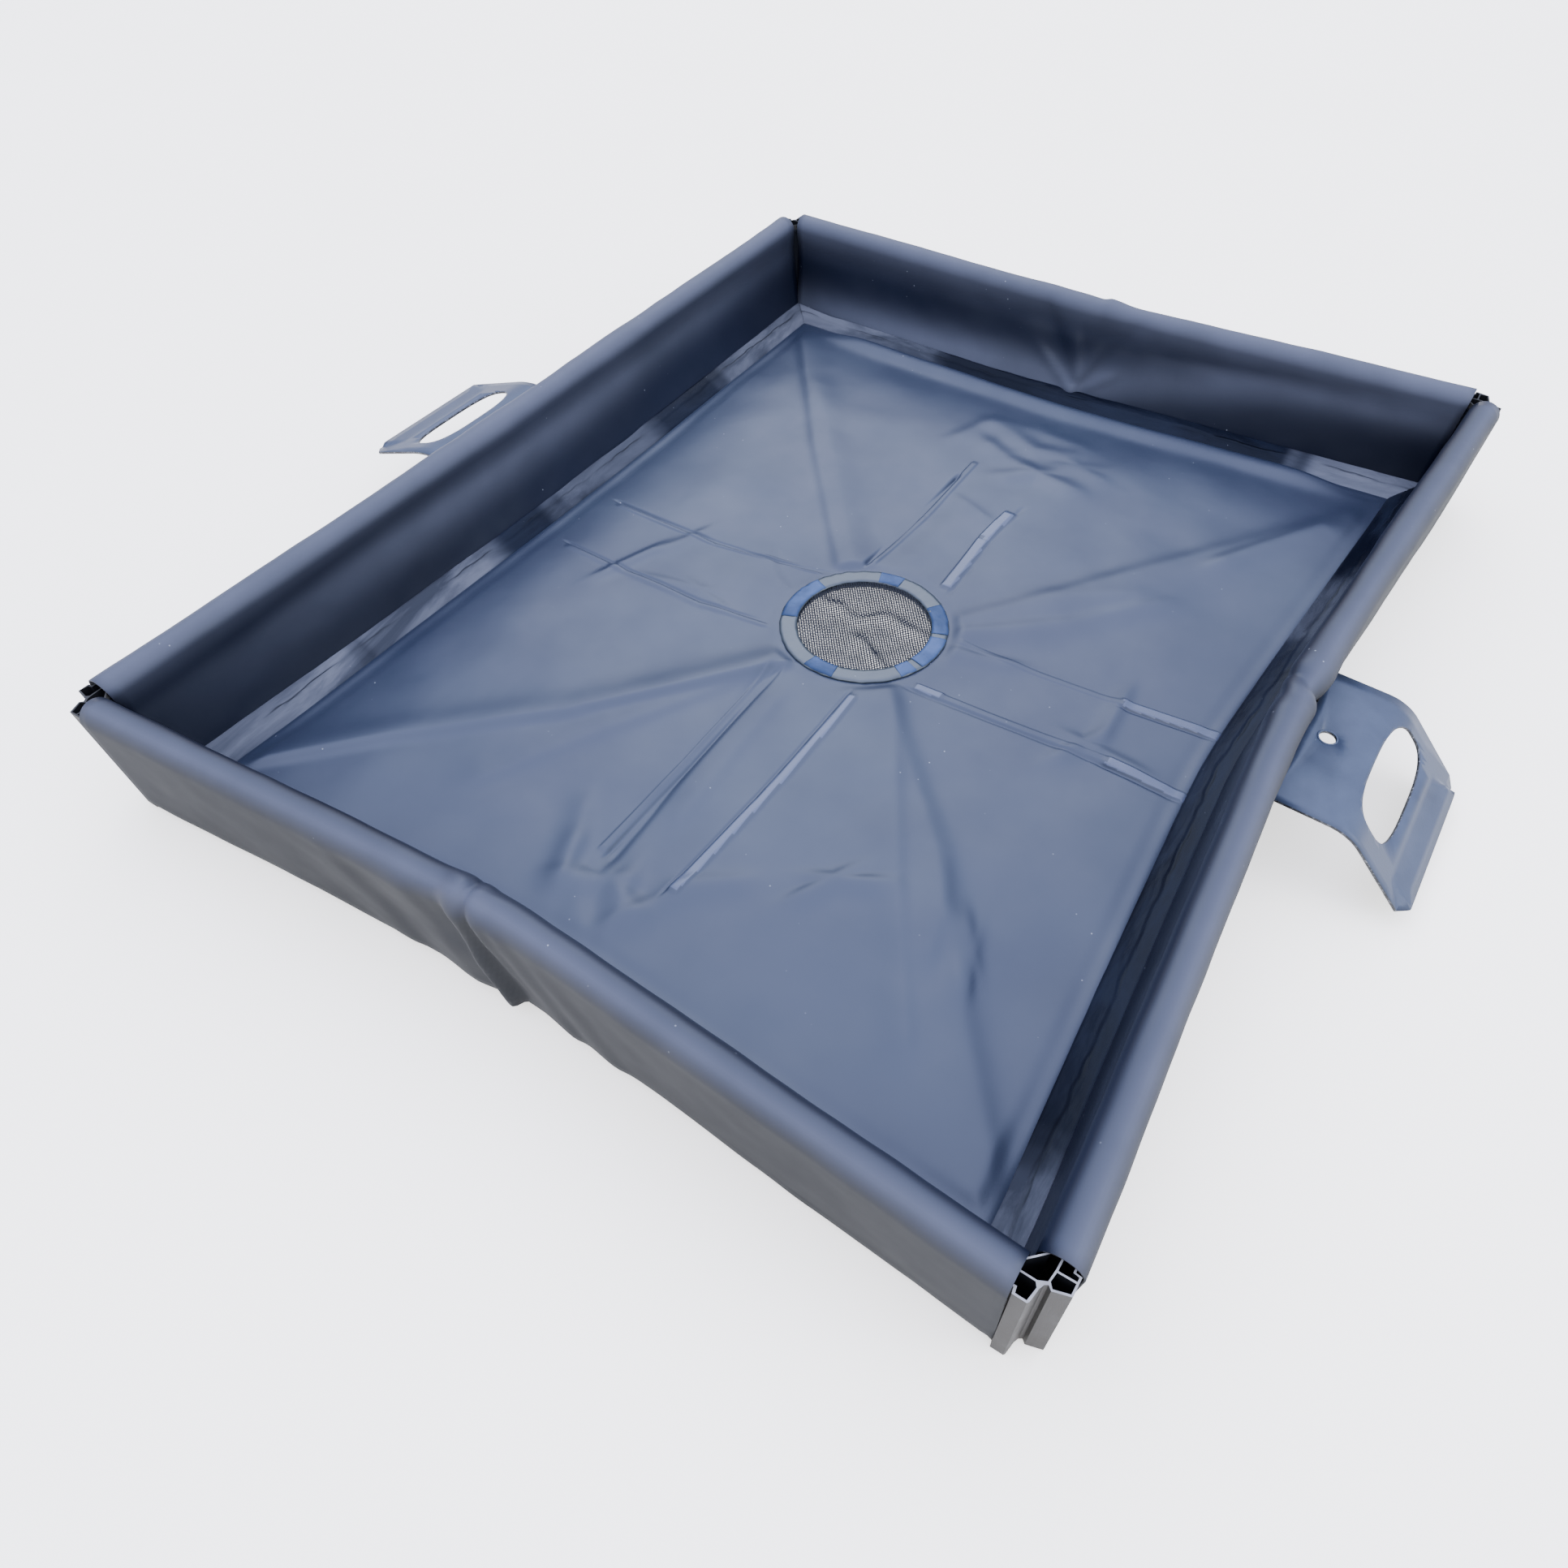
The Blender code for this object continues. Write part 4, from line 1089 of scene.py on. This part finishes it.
# Creases in the floor: (path, width, height, spread).
FLOOR_CREASES = [
    ([(-26, -68), (-144, -218), (-245, -314), (-315, -392)], 6, 4, 3.5),
    ([(-42, -90), (-152, -300)], 10, 2.2, 2.5),
    ([(-62, 64), (-180, 210), (-300, 372)], 8, 3.2, 3.0),
    ([(-52, 72), (-140, 186), (-235, 300)], 10, 1.2, 2.0),
    ([(60, 34), (189, 209), (300, 360)], 12, 2.8, 3.0),
    ([(230, 240), (285, 330)], 9, 3.4, 1.6),
    ([(78, 34), (150, 94), (200, 150)], 8, 1.6, 2.0),
    ([(58, -64), (168, -186), (245, -294), (312, -384)], 12, 3.4, 3.5),
    ([(70, -74), (150, -210), (225, -330)], 8, 1.8, 2.0),
    ([(80, 10), (100, 14), (120, 20)], 6, 1.8, 2.0),
    ([(-34, -92), (-29, -200), (-22, -306)], 4.2, -2.2, 1.6),
    ([(-14, -120), (-4, -250)], 9, 1.6, 1.5),
    ([(222, 26), (224, -6)], 5, 2.2, 1.8),
    ([(206, -46), (214, -30), (250, -34)], 6, 1.8, 1.8),
    ([(-230, -52), (-218, -16)], 4, 2.2, 1.8),
    ([(-206, 0), (-196, 28)], 5, 1.6, 2.0),
    ([(-190, -46), (-150, -36), (-120, -44)], 6, 1.2, 2.0),
    ([(-120, 34), (-100, 14), (-80, 4)], 6, 1, 2.0),
    ([(114, -262), (122, -246), (140, -238)], 5, 2.6, 2.4),
    ([(222, -236), (232, -250), (238, -268)], 5.5, 2.8, 2.2),
    ([(186, -206), (200, -236), (206, -262)], 8, 1.6, 2.0),
    ([(44, -300), (62, -286)], 8, 1.8, 1.6),
    ([(20, -350), (34, -318)], 8.5, 2.4, 1.5),
    ([(-36, -344), (-10, -330), (18, -342)], 10, 2.8, 1.3),
    ([(-50, -320), (-40, -350)], 8.5, 2.4, 1.4),
    ([(-66, -292), (-50, -326)], 8, 2, 1.5),
    ([(0, -318), (12, -358)], 8, 2, 1.5),
    ([(-20, -352), (-4, -372)], 8.5, 1.8, 1.5),
    ([(-30, 296), (-6, 284), (12, 280)], 10, 2, 1.4),
    ([(-16, 322), (10, 312), (40, 318)], 11, 2, 1.3),
    ([(-40, 336), (0, 344), (46, 338)], 11, 2, 1.3),
    ([(10, 262), (30, 276), (62, 270)], 10, 2, 1.4),
    ([(-64, 300), (-52, 330)], 9, 1.6, 1.5),
    ([(46, 300), (60, 306), (78, 300)], 8, 1, 1.5),
    ([(-10, 200), (14, 190)], 6, 1.2, 2.0),
    ([(128, 118), (180, 150)], 12, 1.4, 2.0),
    ([(-10, 110), (-6, 220)], 12, 1, 2.0),
]


def floor_height(x, y):
    """Height of the floor cloth above the liner at places measured from the pan's centre."""
    radius = np.hypot(x, y)
    height = 0.0035 * soft_step(radius, 0.07, 0.34)
    for path, width, rise in in_metres(SHINY_BANDS + DULL_BANDS):
        height = height + band(x, y, path, width, rise)
    for path, width, depth in in_metres(FLOOR_GROOVES):
        height = height - fold(x, y, path, width, depth, 1.0, 0.006)
    for path, width, rise, spread in in_metres(FLOOR_CREASES):
        height = height + fold(x, y, path, width, rise, spread)
    return height


def close_lines(half, places, count):
    """Grid lines from -half to half, closer together near the given distances from the middle."""
    fine = np.linspace(-half, half, 4001)
    weight = np.ones_like(fine)
    for place in places:
        weight += 2.4 * np.exp(-(((np.abs(fine) - place) / 0.012) ** 2))
    total = np.cumsum(weight)
    total = (total - total[0]) / (total[-1] - total[0])
    return np.interp(np.linspace(0.0, 1.0, count), total, fine)


def floor_grid():
    """The floor's grid, which follows the walls' bow: its x and y, and its left, right, front and back."""
    nominal_x = close_lines(WIDTH / 2, FINE_AT_X, FLOOR_COLUMNS)
    nominal_y = close_lines(LENGTH / 2, FINE_AT_Y, FLOOR_ROWS)
    edges = []
    for wall in ("left", "right", "front", "back"):
        places = nominal_y if wall in HANDLE_SWING else nominal_x
        inwards = 1.0 if wall in ("left", "front") else -1.0
        shift = [FLOOR_TUCK - REACH[wall] + kink_shift(wall, place, STRIP_FOOT_Z) for place in places]
        edges.append(inwards * np.array(shift))
    left, right, front, back = edges
    x = left[:, None] + (right - left)[:, None] * (nominal_x / WIDTH + 0.5)[None, :]
    y = front[None, :] + (back - front)[None, :] * (nominal_y / LENGTH + 0.5)[:, None]
    return x, y, left[:, None], right[:, None], front[None, :], back[None, :]


def floor_relief(x, y, left, right, front, back):
    """The floor cloth's height: its bands and creases, its waves, and how it meets the tapes and ring."""
    height = floor_height(x, y)
    for i in range(FLOOR_ROWS):
        for j in range(FLOOR_COLUMNS):
            px, py = x[i, j], y[i, j]
            height[i, j] += 0.0030 * noise.noise(Vector((px * 7.0, py * 7.0, 3.3)))
            height[i, j] += 0.0010 * noise.noise(Vector((px * 20.0, py * 20.0, 8.1)))
            height[i, j] += 0.00006 * noise.noise(Vector((px * 90.0, py * 90.0, 1.4)))
    side_gap = np.minimum(x - left, right - x)
    back_gap = back - y
    inset = np.minimum(side_gap, np.minimum(y - front, back_gap))
    near_strip = 1.0 - soft_step(inset, 0.004, 0.030)
    turn_up = TURN_UP * np.exp(-(((inset - 0.013) / 0.006) ** 2))
    corner_fade = soft_step(side_gap, 0.02, 0.10)
    behind = back_gap - RIDGE_IN
    ridge_shape = np.where(behind < 0.0, behind / RIDGE_STEEP, behind / RIDGE_SOFT)
    turn_up = turn_up + RIDGE * corner_fade * np.exp(-ridge_shape * ridge_shape)
    height = np.maximum(height, -0.0008) * (1.0 - near_strip) + turn_up
    return height * soft_step(np.hypot(x, y), RING_RADIUS, RING_RADIUS + 0.012)


def make_floor(material, band_gloss_and_highlight_look):
    """The floor cloth: a fine sheet with pocket outlines, tension creases and the drain hole."""
    x, y, *edges = floor_grid()
    height = floor_relief(x, y, *edges)
    places = zip(x.ravel(), y.ravel(), height.ravel())
    verts = [(CENTRE_X + px, py, FLOOR_Z + up) for px, py, up in places]

    def keep(i, j):
        middle_x = (x[i, j] + x[i + 1, j + 1]) / 2
        middle_y = (y[i, j] + y[i + 1, j + 1]) / 2
        return math.hypot(middle_x, middle_y) > HOLE_RADIUS + 0.0045

    faces = grid_faces(FLOOR_ROWS, FLOOR_COLUMNS, keep=keep)
    floor = link_mesh("cloth_floor", verts, faces, material, band_gloss_and_highlight_look)
    # Faces on the shiny bands take the second slot: real gloss, with a lighter colour as painted highlight.
    shiny = np.zeros_like(x)
    for path, width, rise in in_metres(SHINY_BANDS):
        shiny = np.maximum(shiny, band(x, y, path, width, 1.0))
    shiny = shiny.ravel()
    for face in floor.data.polygons:
        face.material_index = 1 if min(shiny[k] for k in face.vertices) > 0.5 else 0
    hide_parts("floor_liner")
    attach(floor, "pan")


# ---------------------------------------------------------------- drain


def arc_plate(name, radii, turns, z, thickness, steps, seed, material):
    """A flat curved band with a slightly wavy outline, between two radii and two turns."""
    inner, outer = radii
    start, stop = turns
    verts = []
    for i in range(steps + 1):
        turn = start + (stop - start) * i / steps
        ripple = 0.0007 * noise.noise(Vector((math.cos(turn) * 9, math.sin(turn) * 9, seed)))
        for j in range(ARC_COLUMNS):
            across = j / (ARC_COLUMNS - 1)
            radius = inner + (outer - inner) * across + ripple * (0.3 + 0.7 * across)
            place = Vector((math.cos(turn) * 14, math.sin(turn) * 14, across * 2 + seed))
            bulge = 0.0005 * noise.noise(place)
            dip = -0.0006 * max(0.0, abs(across - 0.5) * 2 - 0.7) / 0.3
            x, y = radius * math.cos(turn), radius * math.sin(turn)
            verts.append((CENTRE_X + x, y, z + thickness + bulge + dip))
    arc = link_mesh(name, verts, grid_faces(steps + 1, ARC_COLUMNS), material)
    solidify(arc, thickness)
    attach(arc, "pan")
    return arc


def make_drain(ring_look, patch_look, net_look):
    """The ring, its heat-welded patches and the sagging net."""
    z = RING_LOW.z
    radii = (HOLE_RADIUS, RING_RADIUS)
    turns = (0.0, 2.0 * math.pi)
    ring = arc_plate("drain_ring_tape", radii, turns, z, RING_THICKNESS, RING_STEPS, RING_SEED, ring_look)
    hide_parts("drain_ring")
    radii = (HOLE_RADIUS + PATCH_INSET, RING_RADIUS - PATCH_INSET)
    for index, (start, stop) in enumerate(RING_PATCHES):
        name = f"drain_ring_patch_{index + 1}"
        turns = (math.radians(start), math.radians(stop))
        seed = PATCH_SEED + index
        arc_plate(name, radii, turns, z + PATCH_THICKNESS, PATCH_THICKNESS, PATCH_STEPS, seed, patch_look)
    net = make_net(net_look)
    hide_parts("strainer_net")


def net_height(x, y):
    """The net's sag, its slack behind and its two broken folds."""
    t = min(1.0, math.hypot(x, y) / NET_RADIUS)
    free = 1.0 - t ** 6
    sag = 0.0022 + 0.0022 * t ** 4 + 0.0030 * float(soft_step(np.float64(y), 0.0, 0.05)) * free
    ridge = y - 0.012 - 0.006 * math.sin(x * 62.0) - 0.003 * math.sin(x * 150.0)
    second = y + 0.020 + 0.35 * x - 0.004 * math.sin(x * 90.0 + 1.0)
    second_part = float(soft_step(np.float64(x), -0.02, 0.02))
    broken = 0.55 + 0.45 * noise.noise(Vector((x * 45.0, 2.0, 7.0)))
    folds = 0.0046 * broken * math.exp(-((ridge / 0.0070) ** 2))
    folds += 0.0036 * second_part * math.exp(-((second / 0.0065) ** 2))
    folds += 0.0012 * noise.noise(Vector((x * 60.0, y * 60.0, 5.0)))
    return max(sag + free * folds, LOWEST_NET)


def make_net(material):
    """A woven net of fine wires, set diagonally across the hole."""
    verts, faces = [], []
    count = int(NET_RADIUS / NET_PITCH)
    for direction in (0, 1):
        turn = math.radians(NET_TURN + 90.0 * direction)
        ahead = Vector((math.cos(turn), math.sin(turn)))
        side = Vector((-ahead.y, ahead.x))
        for k in range(-count, count + 1):
            offset = k * NET_PITCH
            half = math.sqrt(max(NET_RADIUS ** 2 - offset ** 2, 0.0))
            steps = max(2, int(2 * half / NET_PITCH))
            path = []
            for i in range(steps + 1):
                place = side * offset + ahead * (-half + 2 * half * i / steps)
                weave = 0.4 * NET_WIRE * (1 if (i + k + direction) % 2 else -1)
                path.append(Vector((CENTRE_X + place.x, place.y, net_height(place.x, place.y) + weave)))
            sweep(verts, faces, path, NET_WIRE, 4)
    net = link_mesh("woven_net", verts, faces, material)
    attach(net, "pan")
    return net


# ---------------------------------------------------------------- handles


def handle_point(side, along, reach):
    """The plate's middle surface at a place along its width and a distance from its pin."""
    flat, shank, lip = HANDLE_SLOPES[side]
    if reach <= FLAT_END:
        return Vector((along, -reach * math.cos(flat), reach * math.sin(flat)))
    point = Vector((FLAT_END * math.cos(flat), FLAT_END * math.sin(flat)))
    radius = (BEND_END - FLAT_END) / (flat - shank)
    slope = flat - (min(reach, BEND_END) - FLAT_END) / radius
    centre = point + radius * Vector((math.sin(flat), -math.cos(flat)))
    point = centre + radius * Vector((-math.sin(slope), math.cos(slope)))
    if reach > BEND_END:
        straight = min(reach, SHANK_END) - BEND_END
        point += straight * Vector((math.cos(shank), math.sin(shank)))
    if reach > SHANK_END:
        beyond = reach - SHANK_END
        mitre = HANDLE_HALF_WIDTH - 0.019 + 0.35 * beyond
        bent = 1.0 - float(soft_step(np.float64(abs(along + 0.004)), mitre, mitre + 0.004))
        slope = shank + (lip - shank) * bent
        point += beyond * Vector((math.cos(slope), math.sin(slope)))
    return Vector((along, -point.x, point.y))


def rounded_hole(centre, half_long, half_high, power, steps=48):
    """A hole with straight sides and large round ends, as (along, reach) points."""
    points = []
    for i in range(steps):
        turn = 2.0 * math.pi * i / steps
        c, s = math.cos(turn), math.sin(turn)
        along = half_long * math.copysign(abs(c) ** power, c)
        reach = half_high * math.copysign(abs(s) ** power, s)
        points.append((centre[0] + along, centre[1] + reach))
    return points


def handle_matrix(side):
    """Where a handle's own frame stands: on its pin, swung by its resting angle."""
    swing = Matrix.Rotation(-HANDLE_SWING[side], 4, "X")
    return place_in_wall(side) @ Matrix.Translation((0.0, KINK[side] + PIN_INSET, PIN_Z)) @ swing


def cut_lines(bm, places, axis):
    """Cut a flat bmesh along lines at the given places on its x (0) or y (1) axis."""
    normal = (1, 0, 0) if axis == 0 else (0, 1, 0)
    for place in places:
        geometry = list(bm.verts) + list(bm.edges) + list(bm.faces)
        point = [place * part for part in normal]
        bmesh.ops.bisect_plane(bm, geom=geometry, plane_co=point, plane_no=normal)


def flat_plate():
    """The unbent plate with its holes, cut across where it bends."""
    half = HANDLE_HALF_WIDTH
    end = HANDLE_END
    side = end - LIP_CHAMFER
    outline = [(-half, HANDLE_ROOT), (half, HANDLE_ROOT), (half, side), (half - LIP_CHAMFER, end)]
    outline += [(LIP_CHAMFER - half, end), (-half, side)]
    hand_hole = rounded_hole(HAND_HOLE, *HAND_HOLE_HALF, HAND_HOLE_POWER)
    bolt_hole = rounded_hole(BOLT_HOLE, BOLT_HOLE_RADIUS, BOLT_HOLE_RADIUS, 1.0, 24)
    bm = fill_loops((outline, hand_hole, bolt_hole))
    reaches = [FLAT_END + (BEND_END - FLAT_END) * i / 10 for i in range(11)]
    reaches += [FLAT_END - 0.002, FLAT_END - 0.004, BEND_END + 0.002, BEND_END + 0.004]
    reaches += [SHANK_END + step for step in (-0.003, -0.001, 0.001, 0.008, 0.015)]
    cut_lines(bm, reaches, 1)
    cut_lines(bm, MITRE_CUTS, 0)
    return bm


def make_handle(side, paint, edge):
    """A bent plate with a hand hole, a bolt hole and a mitred lip."""
    bm = flat_plate()
    for vert in bm.verts:
        vert.co = handle_point(side, vert.co.x, vert.co.y)
    plate = link_bmesh(f"handle_plate_{side}", bm, paint, edge)
    plate.data.transform(handle_matrix(side))
    solidify(plate, STEEL, 0.0, 1)
    plate.data.set_sharp_from_angle(angle=math.radians(35.0))
    rim = make_bolt_rim(side, paint)
    knuckle = make_knuckle(side, paint)
    for piece in (plate, rim, knuckle):
        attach(piece, f"handle_{side}")
    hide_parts(f"handle_{side}")


def close_rings(bm, rings):
    """Join rings of points into a closed ring-shaped surface."""
    sides = len(rings[0])
    for i, row in enumerate(rings):
        ahead = rings[(i + 1) % len(rings)]
        for k in range(sides):
            m = (k + 1) % sides
            bm.faces.new((row[k], row[m], ahead[m], ahead[k]))


def make_bolt_rim(side, material):
    """The pressed rim round the bolt hole."""
    bm = bmesh.new()
    ring = []
    for i in range(BOLT_RIM_STEPS):
        turn = 2.0 * math.pi * i / BOLT_RIM_STEPS
        row = []
        for k in range(BOLT_RIM_SIDES):
            lap = 2.0 * math.pi * k / BOLT_RIM_SIDES
            radius = BOLT_RIM_RADIUS + BOLT_RIM_WIRE * math.cos(lap)
            along = BOLT_HOLE[0] + radius * math.cos(turn)
            place = handle_point(side, along, BOLT_HOLE[1] + radius * math.sin(turn))
            lift = STEEL / 2 + BOLT_RIM_PROUD * math.sin(lap)
            row.append(bm.verts.new((place.x, place.y, place.z + lift)))
        ring.append(row)
    close_rings(bm, ring)
    rim = link_bmesh(f"handle_bolt_rim_{side}", bm, material)
    rim.data.transform(handle_matrix(side))
    return rim


def make_knuckle(side, material):
    """The rolled tube that turns on the pin."""
    bm = bmesh.new()
    section = [(-KNUCKLE_HALF, KNUCKLE_BORE), (-KNUCKLE_HALF, KNUCKLE_RADIUS)]
    section += [(KNUCKLE_HALF, KNUCKLE_RADIUS), (KNUCKLE_HALF, KNUCKLE_BORE)]
    rings = []
    for x, radius in section:
        row = []
        for k in range(KNUCKLE_SIDES):
            turn = 2.0 * math.pi * k / KNUCKLE_SIDES
            row.append(bm.verts.new((x, radius * math.cos(turn), radius * math.sin(turn))))
        rings.append(row)
    close_rings(bm, rings)
    knuckle = link_bmesh(f"handle_knuckle_{side}", bm, material)
    knuckle.data.set_sharp_from_angle(angle=math.radians(40.0))
    knuckle.data.transform(handle_matrix(side))
    return knuckle


# ---------------------------------------------------------------- stage


def make_sky():
    """A soft sky, from a warm ground light to a cool light overhead."""
    world = bpy.data.worlds.new("studio_sky")
    bpy.context.scene.world = world
    world.use_nodes = True
    tree = world.node_tree
    background = tree.nodes["Background"]
    background.inputs["Strength"].default_value = SKY_STRENGTH
    source = tree.nodes.new("ShaderNodeTexCoord")
    split = tree.nodes.new("ShaderNodeSeparateXYZ")
    tree.links.new(source.outputs["Generated"], split.inputs["Vector"])
    tree.links.new(ramp(tree, split.outputs["Z"], SKY), background.inputs["Color"])


def make_stage():
    """Pale floor, soft sky and three large lamps."""
    verts = [(x * STAGE_HALF, y * STAGE_HALF, STAGE_Z) for x, y in ((-1, -1), (1, -1), (1, 1), (-1, 1))]
    ground = link_mesh("backdrop", verts, [(0, 1, 2, 3)], backdrop_material())
    make_sky()
    for name, place, extent, power, colour in LAMPS:
        data = bpy.data.lights.new(name, "AREA")
        data.shape = "DISK"
        data.size = extent
        data.energy = power
        data.color = colour
        lamp = bpy.data.objects.new(name, data)
        lamp.location = place
        lamp.rotation_mode = "QUATERNION"
        lamp.rotation_quaternion = (-Vector(place)).to_track_quat("-Z", "Y")
        bpy.context.scene.collection.objects.link(lamp)


def make_camera():
    """The photographer's place: above the front right corner, looking across the pan."""
    data = bpy.data.cameras.new("camera")
    data.sensor_width = SENSOR_WIDTH
    data.lens = LENS
    camera = bpy.data.objects.new("camera", data)
    bpy.context.scene.collection.objects.link(camera)
    camera.location = CAMERA_PLACE
    aim = Vector(CAMERA_AIM)
    turn = aim.to_track_quat("-Z", "Y").to_matrix() @ Matrix.Rotation(CAMERA_ROLL, 3, "Z")
    camera.rotation_euler = turn.to_euler()
    bpy.context.scene.camera = camera


# ---------------------------------------------------------------- assembly


def dress_frame(looks):
    """Give every CAD node that stays visible its material."""
    for name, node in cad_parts.items():
        for start, look in looks.items():
            if name.startswith(start):
                for slot in node.material_slots:
                    slot.material = look
                if not node.material_slots:
                    node.data.materials.append(look)


def make_looks():
    """Every material that a piece wears, by what it is for."""
    film = ((0.028, 0.030, 0.038), (0.112, 0.116, 0.134))
    tape_dark, tape_light = (0.0015, 0.002, 0.005), (0.006, 0.008, 0.015)
    slit_shade_dark, slit_shade_light = (0.0015, 0.0018, 0.003), (0.003, 0.0035, 0.005)
    net_dark, net_light = (0.008, 0.009, 0.012), (0.016, 0.018, 0.023)
    floor_dark, floor_light = (0.007, 0.011, 0.024), (0.013, 0.019, 0.032)
    return {
        "wall": wall_cloth_material(),
        "cloth": cloth_material("cloth_look", (0.006, 0.008, 0.014), (0.011, 0.014, 0.021), 0.36, 0.46, 0.42),
        "floor": cloth_material("floor_cloth_look", floor_dark, floor_light, 0.36, 0.46, 0.50),
        # The bands: glossier than the floor, and lighter in colour as a painted highlight.
        "band": cloth_material("band_gloss_and_highlight_look", (0.018, 0.024, 0.046), (0.030, 0.038, 0.064), 0.24, 0.32, 0.62),
        "tape_across": tape_material("tape_look_across", tape_dark, tape_light, (0.35, 1.6, 1.6), film),
        "tape_along": tape_material("tape_look_along", tape_dark, tape_light, (1.6, 0.35, 1.6), film),
        "ring": cloth_material("ring_look", (0.020, 0.026, 0.028), (0.034, 0.040, 0.042), 0.26, 0.36),
        "patch": tape_material("patch_look", (0.022, 0.036, 0.072), (0.05, 0.075, 0.14), (1.0, 1.0, 1.0)),
        "net": cloth_material("net_look", net_dark, net_light, 0.5, 0.7, 0.12, False),
        # Near black: painted shade for the deep slit at each inner corner.
        "slit": cloth_material("corner_slit_shade_look", slit_shade_dark, slit_shade_light, 0.6, 0.7, 0.1, False),
        "plastic": plastic_material("post_look", (0.036, 0.034, 0.030), (0.018, 0.017, 0.015), 0.6),
        "rim": plastic_material("post_rim_look", (0.26, 0.25, 0.24), (0.17, 0.165, 0.16), 0.6),
        # Near black: painted shade inside the posts' chambers.
        "hollow": plastic_material("post_chamber_shade_look", (0.0035, 0.0035, 0.004), (0.0015, 0.0015, 0.002), 0.8),
        "paint": metal_material("handle_look", (0.026, 0.035, 0.056), (0.038, 0.049, 0.074), 0.38, 0.48, 0.0),
        "steel": metal_material("bracket_look", (0.14, 0.145, 0.15), (0.21, 0.215, 0.22), 0.35, 0.5, 0.9),
        "pin": metal_material("pin_look", (0.25, 0.25, 0.26), (0.32, 0.32, 0.33), 0.25, 0.4, 1.0),
        "edge": edge_material(),
        "foam": foam_material(),
    }


def build():
    """Make every piece of the look."""
    looks = make_looks()
    for wall in WALLS:
        make_wrap(wall, looks["wall"])
        make_cores(wall, looks["foam"])
        make_strip(wall, looks["tape_along" if wall in HANDLE_SWING else "tape_across"])
    for corner in CORNERS:
        rim = "rim" if corner == "front_right" else "plastic"
        make_post(corner, looks["plastic"], looks["hollow"], looks[rim])
        make_gusset(corner, looks["slit"])
    make_floor(looks["floor"], looks["band"])
    make_drain(looks["ring"], looks["patch"], looks["net"])
    for side in HANDLE_SWING:
        make_handle(side, looks["paint"], looks["edge"])
    dress_frame(
        {
            "floor_sleeve": looks["cloth"],
            "floor_batten": looks["steel"],
            "drain_backing_ring": looks["ring"],
            "handle_bracket": looks["steel"],
            "handle_pin": looks["pin"],
        }
    )
    make_stage()
    make_camera()


build()
